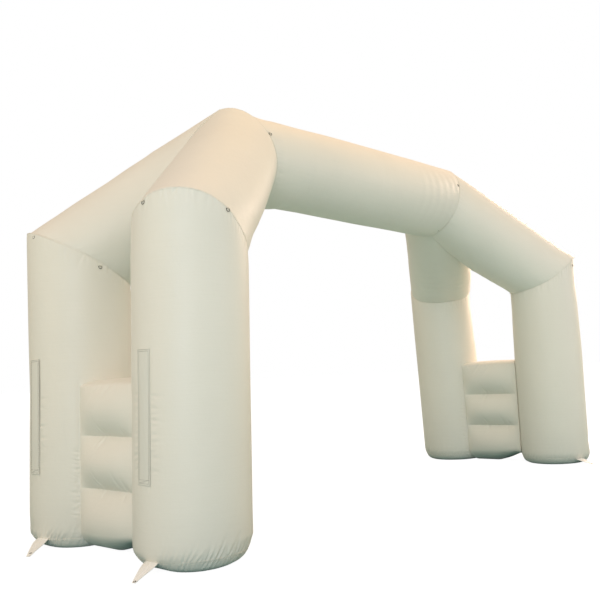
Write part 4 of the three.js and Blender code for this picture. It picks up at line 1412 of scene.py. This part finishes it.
# Soft light from all round, as lobes: which way each comes from, how tight it is, its colour and strength
SKY_LOBES = table(
    "azimuth elevation tightness colour strength",
    (-180, 8, 8, "#A5F1FF", 0.15), (-150, 8, 8, "#E2FAFF", 0.45), (-120, 8, 8, "#C0F0FF", 0.36),
    (-30, 8, 8, "#FFFABB", 0.47), (0, 8, 8, "#FFE1B4", 0.5), (30, 8, 8, "#FFC2BC", 0.17),
    (150, 8, 8, "#B4F7FF", 0.13), (-180, 38, 8, "#F7FFE7", 0.2), (-135, 38, 8, "#FFFFEA", 0.47),
    (0, 38, 8, "#FFC48A", 0.42), (135, 38, 8, "#E4F6FF", 0.07), (-180, 66, 8, "#FF9C80", 0.16),
    (-15, 35, 80, "#FFD494", 0.12))
SKY_BASE = {"colour": "#FFE9D6", "strength": 0.54}

# Large soft lamps, hidden from the camera: they light the left end more than the right
SOFT_BOXES = table(
    "place aim colour power",
    ((-11, -7, 3.5), (-3.5, 0, 1.8), "#D3E2FF", 197), ((-12, 1, 3.5), (-3.5, 0, 1.8), "#FFC388", 62),
    ((0, -9, 5), (0, 0, 2), "#D5DFFF", 65), ((7, -8, 4), (3.5, 0, 1.8), "#EADCFF", 62),
    ((9, 0, 5), (3.5, 0, 1.8), "#FFDFCE", 430), ((0, 0, 8), (0, 0, 2), "#FFCC76", 51))
SOFT_BOX_SIZE = 4.0
FLOOR_GLOW = {"strength": 1.22, "share": 0.78}
FLOOR_DROP = 0.0015              # below the ground, so that nothing lies in the same plane

# What the floor throws back up, under the arch's ends and away from them, and how far out the change runs
BOUNCE = {"near": "#6C9595", "far": "#BCDADA", "end": 3.5, "from": 2.0, "to": 4.0}


def direction(azimuth, elevation):
    a, e = math.radians(azimuth), math.radians(elevation)
    return (math.cos(a) * math.cos(e), math.sin(a) * math.cos(e), math.sin(e))


def soft_sky():
    """A world of broad lobes of light, plain white where the camera sees it"""
    world = bpy.data.worlds.new("soft_sky")
    node = shading(world)
    way = node("TexCoord").outputs["Generated"]
    total = tuple(c * SKY_BASE["strength"] for c in linear(SKY_BASE["colour"])[:3])
    for lobe in SKY_LOBES:
        from_lobe = direction(lobe["azimuth"], lobe["elevation"])
        facing = node("VectorMath", {0: way, 1: from_lobe}, operation="DOT_PRODUCT").outputs["Value"]
        front = node("Math", {0: facing, 1: 0.0}, operation="MAXIMUM")
        narrow = node("Math", {0: front, 1: lobe["tightness"]}, operation="POWER")
        colour_of_lobe = [c * lobe["strength"] for c in linear(lobe["colour"])[:3]]
        lit = node("VectorMath", {0: colour_of_lobe, "Scale": narrow}, operation="SCALE")
        total = node("VectorMath", {0: lit, 1: total})
    sky = node("Background", {"Color": total})
    plain = node("Background", {"Color": (1, 1, 1, 1)})
    seen = node("LightPath").outputs["Is Camera Ray"]
    node("OutputWorld", {"Surface": node("MixShader", {0: seen, 1: sky, 2: plain})})
    return world


def studio_floor(stage):
    """A plain white floor under an even glow, with a faint shadow; to everything but the camera it is matt
    and grey-green, darkest under the two ends of the arch"""
    material = bpy.data.materials.new("studio_floor")
    node = shading(material)
    pale = node("BsdfDiffuse", {"Color": tuple(stage.floor)})
    glow = node("Emission", {"Color": (1, 1, 1, 1), "Strength": FLOOR_GLOW["strength"]})
    white = node("MixShader", {0: FLOOR_GLOW["share"], 1: pale, 2: glow})
    folded = node("VectorMath", {0: node("TexCoord").outputs["Object"]}, operation="ABSOLUTE")
    away = node("VectorMath", {0: folded, 1: (BOUNCE["end"], 0, 0)}, operation="DISTANCE").outputs["Value"]
    zone = node("MapRange", {"Value": away, "From Min": BOUNCE["from"], "From Max": BOUNCE["to"]},
                interpolation_type="SMOOTHSTEP")
    shade = node("Mix", {0: zone, 6: linear(BOUNCE["near"]), 7: linear(BOUNCE["far"])}, data_type="RGBA")
    yard = node("BsdfDiffuse", {"Color": shade.outputs[2]})
    seen = node("LightPath").outputs["Is Camera Ray"]
    node("OutputMaterial", {"Surface": node("MixShader", {0: seen, 1: yard, 2: white})})
    mesh = bpy.data.meshes.new("floor")
    half = stage.floor_size / 2
    corners = [(-half, -half, 0), (half, -half, 0), (half, half, 0), (-half, half, 0)]
    mesh.from_pydata(corners, [], [(0, 1, 2, 3)])
    mesh.materials.append(material)
    floor = put("floor", mesh)
    floor.location.z = -FLOOR_DROP
    return floor


def soft_boxes():
    for number, box in enumerate(SOFT_BOXES):
        lamp = bpy.data.lights.new(f"soft_box_{number + 1}", "AREA")
        lamp.shape = "SQUARE"
        lamp.size = SOFT_BOX_SIZE
        lamp.energy = box["power"]
        lamp.color = linear(box["colour"])[:3]
        placed = put(lamp.name, lamp)
        placed.location = box["place"]
        ahead = Vector(box["aim"]) - Vector(box["place"])
        placed.rotation_euler = ahead.to_track_quat("-Z", "Y").to_euler()
        placed.visible_camera = False


# ---------------------------------------------------------------- operators

def add_padded(node, shape, kind="coated_polyester"):
    """Makes the skin that stands for an inflated node"""
    piece = grid_mesh(f"skin_{node}", *shape)
    dress(piece, finish(kind), "cloth", node)


class ARCH_OT_stage(bpy.types.Operator):
    """Sets up the camera, the floor and the light"""
    bl_idname = "arch.stage"
    bl_label = "Stage"

    def execute(self, context):
        stage = context.scene.arch_stage
        yaw = stage.heading
        pitch = stage.pitch
        roll = stage.roll
        ahead = Vector((math.sin(yaw) * math.cos(pitch), math.cos(yaw) * math.cos(pitch), math.sin(pitch)))
        level = Vector((math.cos(yaw), -math.sin(yaw), 0.0))
        above = level.cross(ahead)
        right = level * math.cos(roll) + above * math.sin(roll)
        up = above * math.cos(roll) - level * math.sin(roll)
        camera = put("camera", bpy.data.cameras.new("camera"))
        camera.data.lens = stage.lens
        camera.data.sensor_width = 36.0
        camera.data.clip_end = 1000.0
        turn = Matrix((right, up, -ahead)).transposed().to_4x4()
        camera.matrix_world = Matrix.Translation(Vector(stage.eye) + Vector(MIDDLE)) @ turn
        context.scene.camera = camera
        context.scene.world = soft_sky()
        studio_floor(stage)
        soft_boxes()
        context.scene.view_settings.view_transform = "Standard"
        return {"FINISHED"}


class ARCH_OT_legs(bpy.types.Operator):
    """Makes the four leg tubes, each creased at its seams, beside its flap and where the end wall joins it"""
    bl_idname = "arch.legs"
    bl_label = "Legs"

    def execute(self, context):
        for corner in CORNERS:
            add_padded(f"leg_{corner}", leg_skin(corner, context.scene.arch_tubes))
        return {"FINISHED"}


class ARCH_OT_bases(bpy.types.Operator):
    """Makes the gathered foot panels that the legs stand on"""
    bl_idname = "arch.bases"
    bl_label = "Bases"

    def execute(self, context):
        for corner in CORNERS:
            add_padded(f"base_{corner}", base_skin(corner, context.scene.arch_tubes), "foot_polyester")
        return {"FINISHED"}


class ARCH_OT_rafters(bpy.types.Operator):
    """Makes the four sloping tubes, slack at their elbows and mitred at the crown"""
    bl_idname = "arch.rafters"
    bl_label = "Rafters"

    def execute(self, context):
        for corner in CORNERS:
            add_padded(f"rafter_{corner}", rafter_skin(corner, context.scene.arch_tubes))
        return {"FINISHED"}


class ARCH_OT_beam(bpy.types.Operator):
    """Makes the ridge tube"""
    bl_idname = "arch.beam"
    bl_label = "Beam"

    def execute(self, context):
        add_padded("beam", beam_skin(context.scene.arch_tubes))
        return {"FINISHED"}


class ARCH_OT_walls(bpy.types.Operator):
    """Makes the two quilted end walls"""
    bl_idname = "arch.walls"
    bl_label = "End walls"

    def execute(self, context):
        tubes = context.scene.arch_tubes
        for name, side, spacing in (("left", -1, tubes.near_row_spacing), ("right", 1, tubes.column_spacing)):
            add_padded(f"wall_{name}", wall_skin(side, spacing))
        return {"FINISHED"}


class ARCH_OT_flaps(bpy.types.Operator):
    """Makes the long hemmed flap on the outside of each leg"""
    bl_idname = "arch.flaps"
    bl_label = "Flaps"

    def execute(self, context):
        scene = context.scene
        for corner in CORNERS:
            piece = sheet_mesh(f"cloth_flap_{corner}", *flap_faces(corner, scene.arch_tubes, scene.arch_trim))
            dress(piece, finish("flap_polyester"), "cloth", f"flap_{corner}")
        return {"FINISHED"}


class ARCH_OT_anchors(bpy.types.Operator):
    """Makes the anchor tabs at the feet, with their eyelets"""
    bl_idname = "arch.anchors"
    bl_label = "Anchor tabs"

    def execute(self, context):
        for corner in CORNERS:
            upper, under, eyelet, normal, long = tab_faces(corner)
            piece = sheet_mesh(f"cloth_tab_{corner}", upper, under)
            dress(piece, finish("tab_polyester"), "cloth", f"anchor_tab_{corner}")
            ring = turned_ring(f"eyelet_{corner}", eyelet_profile(), eyelet, normal)
            dress(ring, finish("plated_steel"), "steel", f"anchor_eyelet_{corner}")
        return {"FINISHED"}


class ARCH_OT_rings(bpy.types.Operator):
    """Makes the D-rings at the seams and the webbing loops that hold them"""
    bl_idname = "arch.rings"
    bl_label = "D-rings"

    def execute(self, context):
        radius = context.scene.arch_trim.wire_radius
        tree = wire_tree(finish("plated_steel"))
        for label, bar, outwards, rise in ring_seats():
            wire = line_curve(f"wire_{label}", [ring_line(bar, outwards, rise, radius)], True)
            ring = grown(f"d_ring_{label}", wire, tree, Radius=radius)
            dress(ring, finish("plated_steel"), "steel", f"ring_{label}")
            strap = strap_piece(label, bar, outwards, rise, radius)
            dress(strap, finish("woven_webbing"), "webbing", f"ring_strap_{label}")
        return {"FINISHED"}


class ARCH_OT_stitching(bpy.types.Operator):
    """Sews rows of stitches beside the seams and round the flaps"""
    bl_idname = "arch.stitching"
    bl_label = "Stitching"

    def execute(self, context):
        scene = context.scene
        trim = scene.arch_trim
        sizes = {"Pitch": trim.stitch_pitch, "Length": trim.stitch_length, "Radius": trim.thread_radius}
        for kind, lines, closed in (("seam", seam_lines(scene.arch_tubes, trim), True),
                                    ("flap", flap_lines(scene.arch_tubes, trim), False)):
            thread = finish(f"{kind}_thread")
            curve = line_curve(f"{kind}_lines", lines, closed)
            dress(grown(f"stitches_{kind}s", curve, stitch_tree(thread), **sizes), thread, "webbing")
        return {"FINISHED"}


class ARCH_PT_panel(bpy.types.Panel):
    """Lists the pieces of the arch and their sizes"""
    bl_label = "Inflatable Arch"
    bl_idname = "ARCH_PT_panel"
    bl_space_type = "VIEW_3D"
    bl_region_type = "UI"
    bl_category = "Arch"

    def draw(self, context):
        for operator in OPERATORS:
            self.layout.operator(operator.bl_idname)
        for settings in (context.scene.arch_cloth, context.scene.arch_tubes, context.scene.arch_trim,
                         context.scene.arch_stage):
            box = self.layout.box()
            for name in settings.__annotations__:
                box.prop(settings, name)


SETTINGS = {
    "arch_cloth": ArchClothSettings,
    "arch_tubes": ArchTubeSettings,
    "arch_trim": ArchTrimSettings,
    "arch_stage": ArchStageSettings,
}
OPERATORS = [ARCH_OT_stage, ARCH_OT_legs, ARCH_OT_bases, ARCH_OT_rafters, ARCH_OT_beam, ARCH_OT_walls,
             ARCH_OT_flaps, ARCH_OT_anchors, ARCH_OT_rings, ARCH_OT_stitching]


def register():
    for kind in (*SETTINGS.values(), *OPERATORS, ARCH_PT_panel):
        bpy.utils.register_class(kind)
    for name, kind in SETTINGS.items():
        setattr(bpy.types.Scene, name, bpy.props.PointerProperty(type=kind))


def unregister():
    for name in SETTINGS:
        delattr(bpy.types.Scene, name)
    for kind in reversed((*SETTINGS.values(), *OPERATORS, ARCH_PT_panel)):
        bpy.utils.unregister_class(kind)


def main():
    register()
    for operator in OPERATORS:
        section, name = operator.bl_idname.split(".")
        getattr(getattr(bpy.ops, section), name)()


if __name__ == "__main__":
    main()
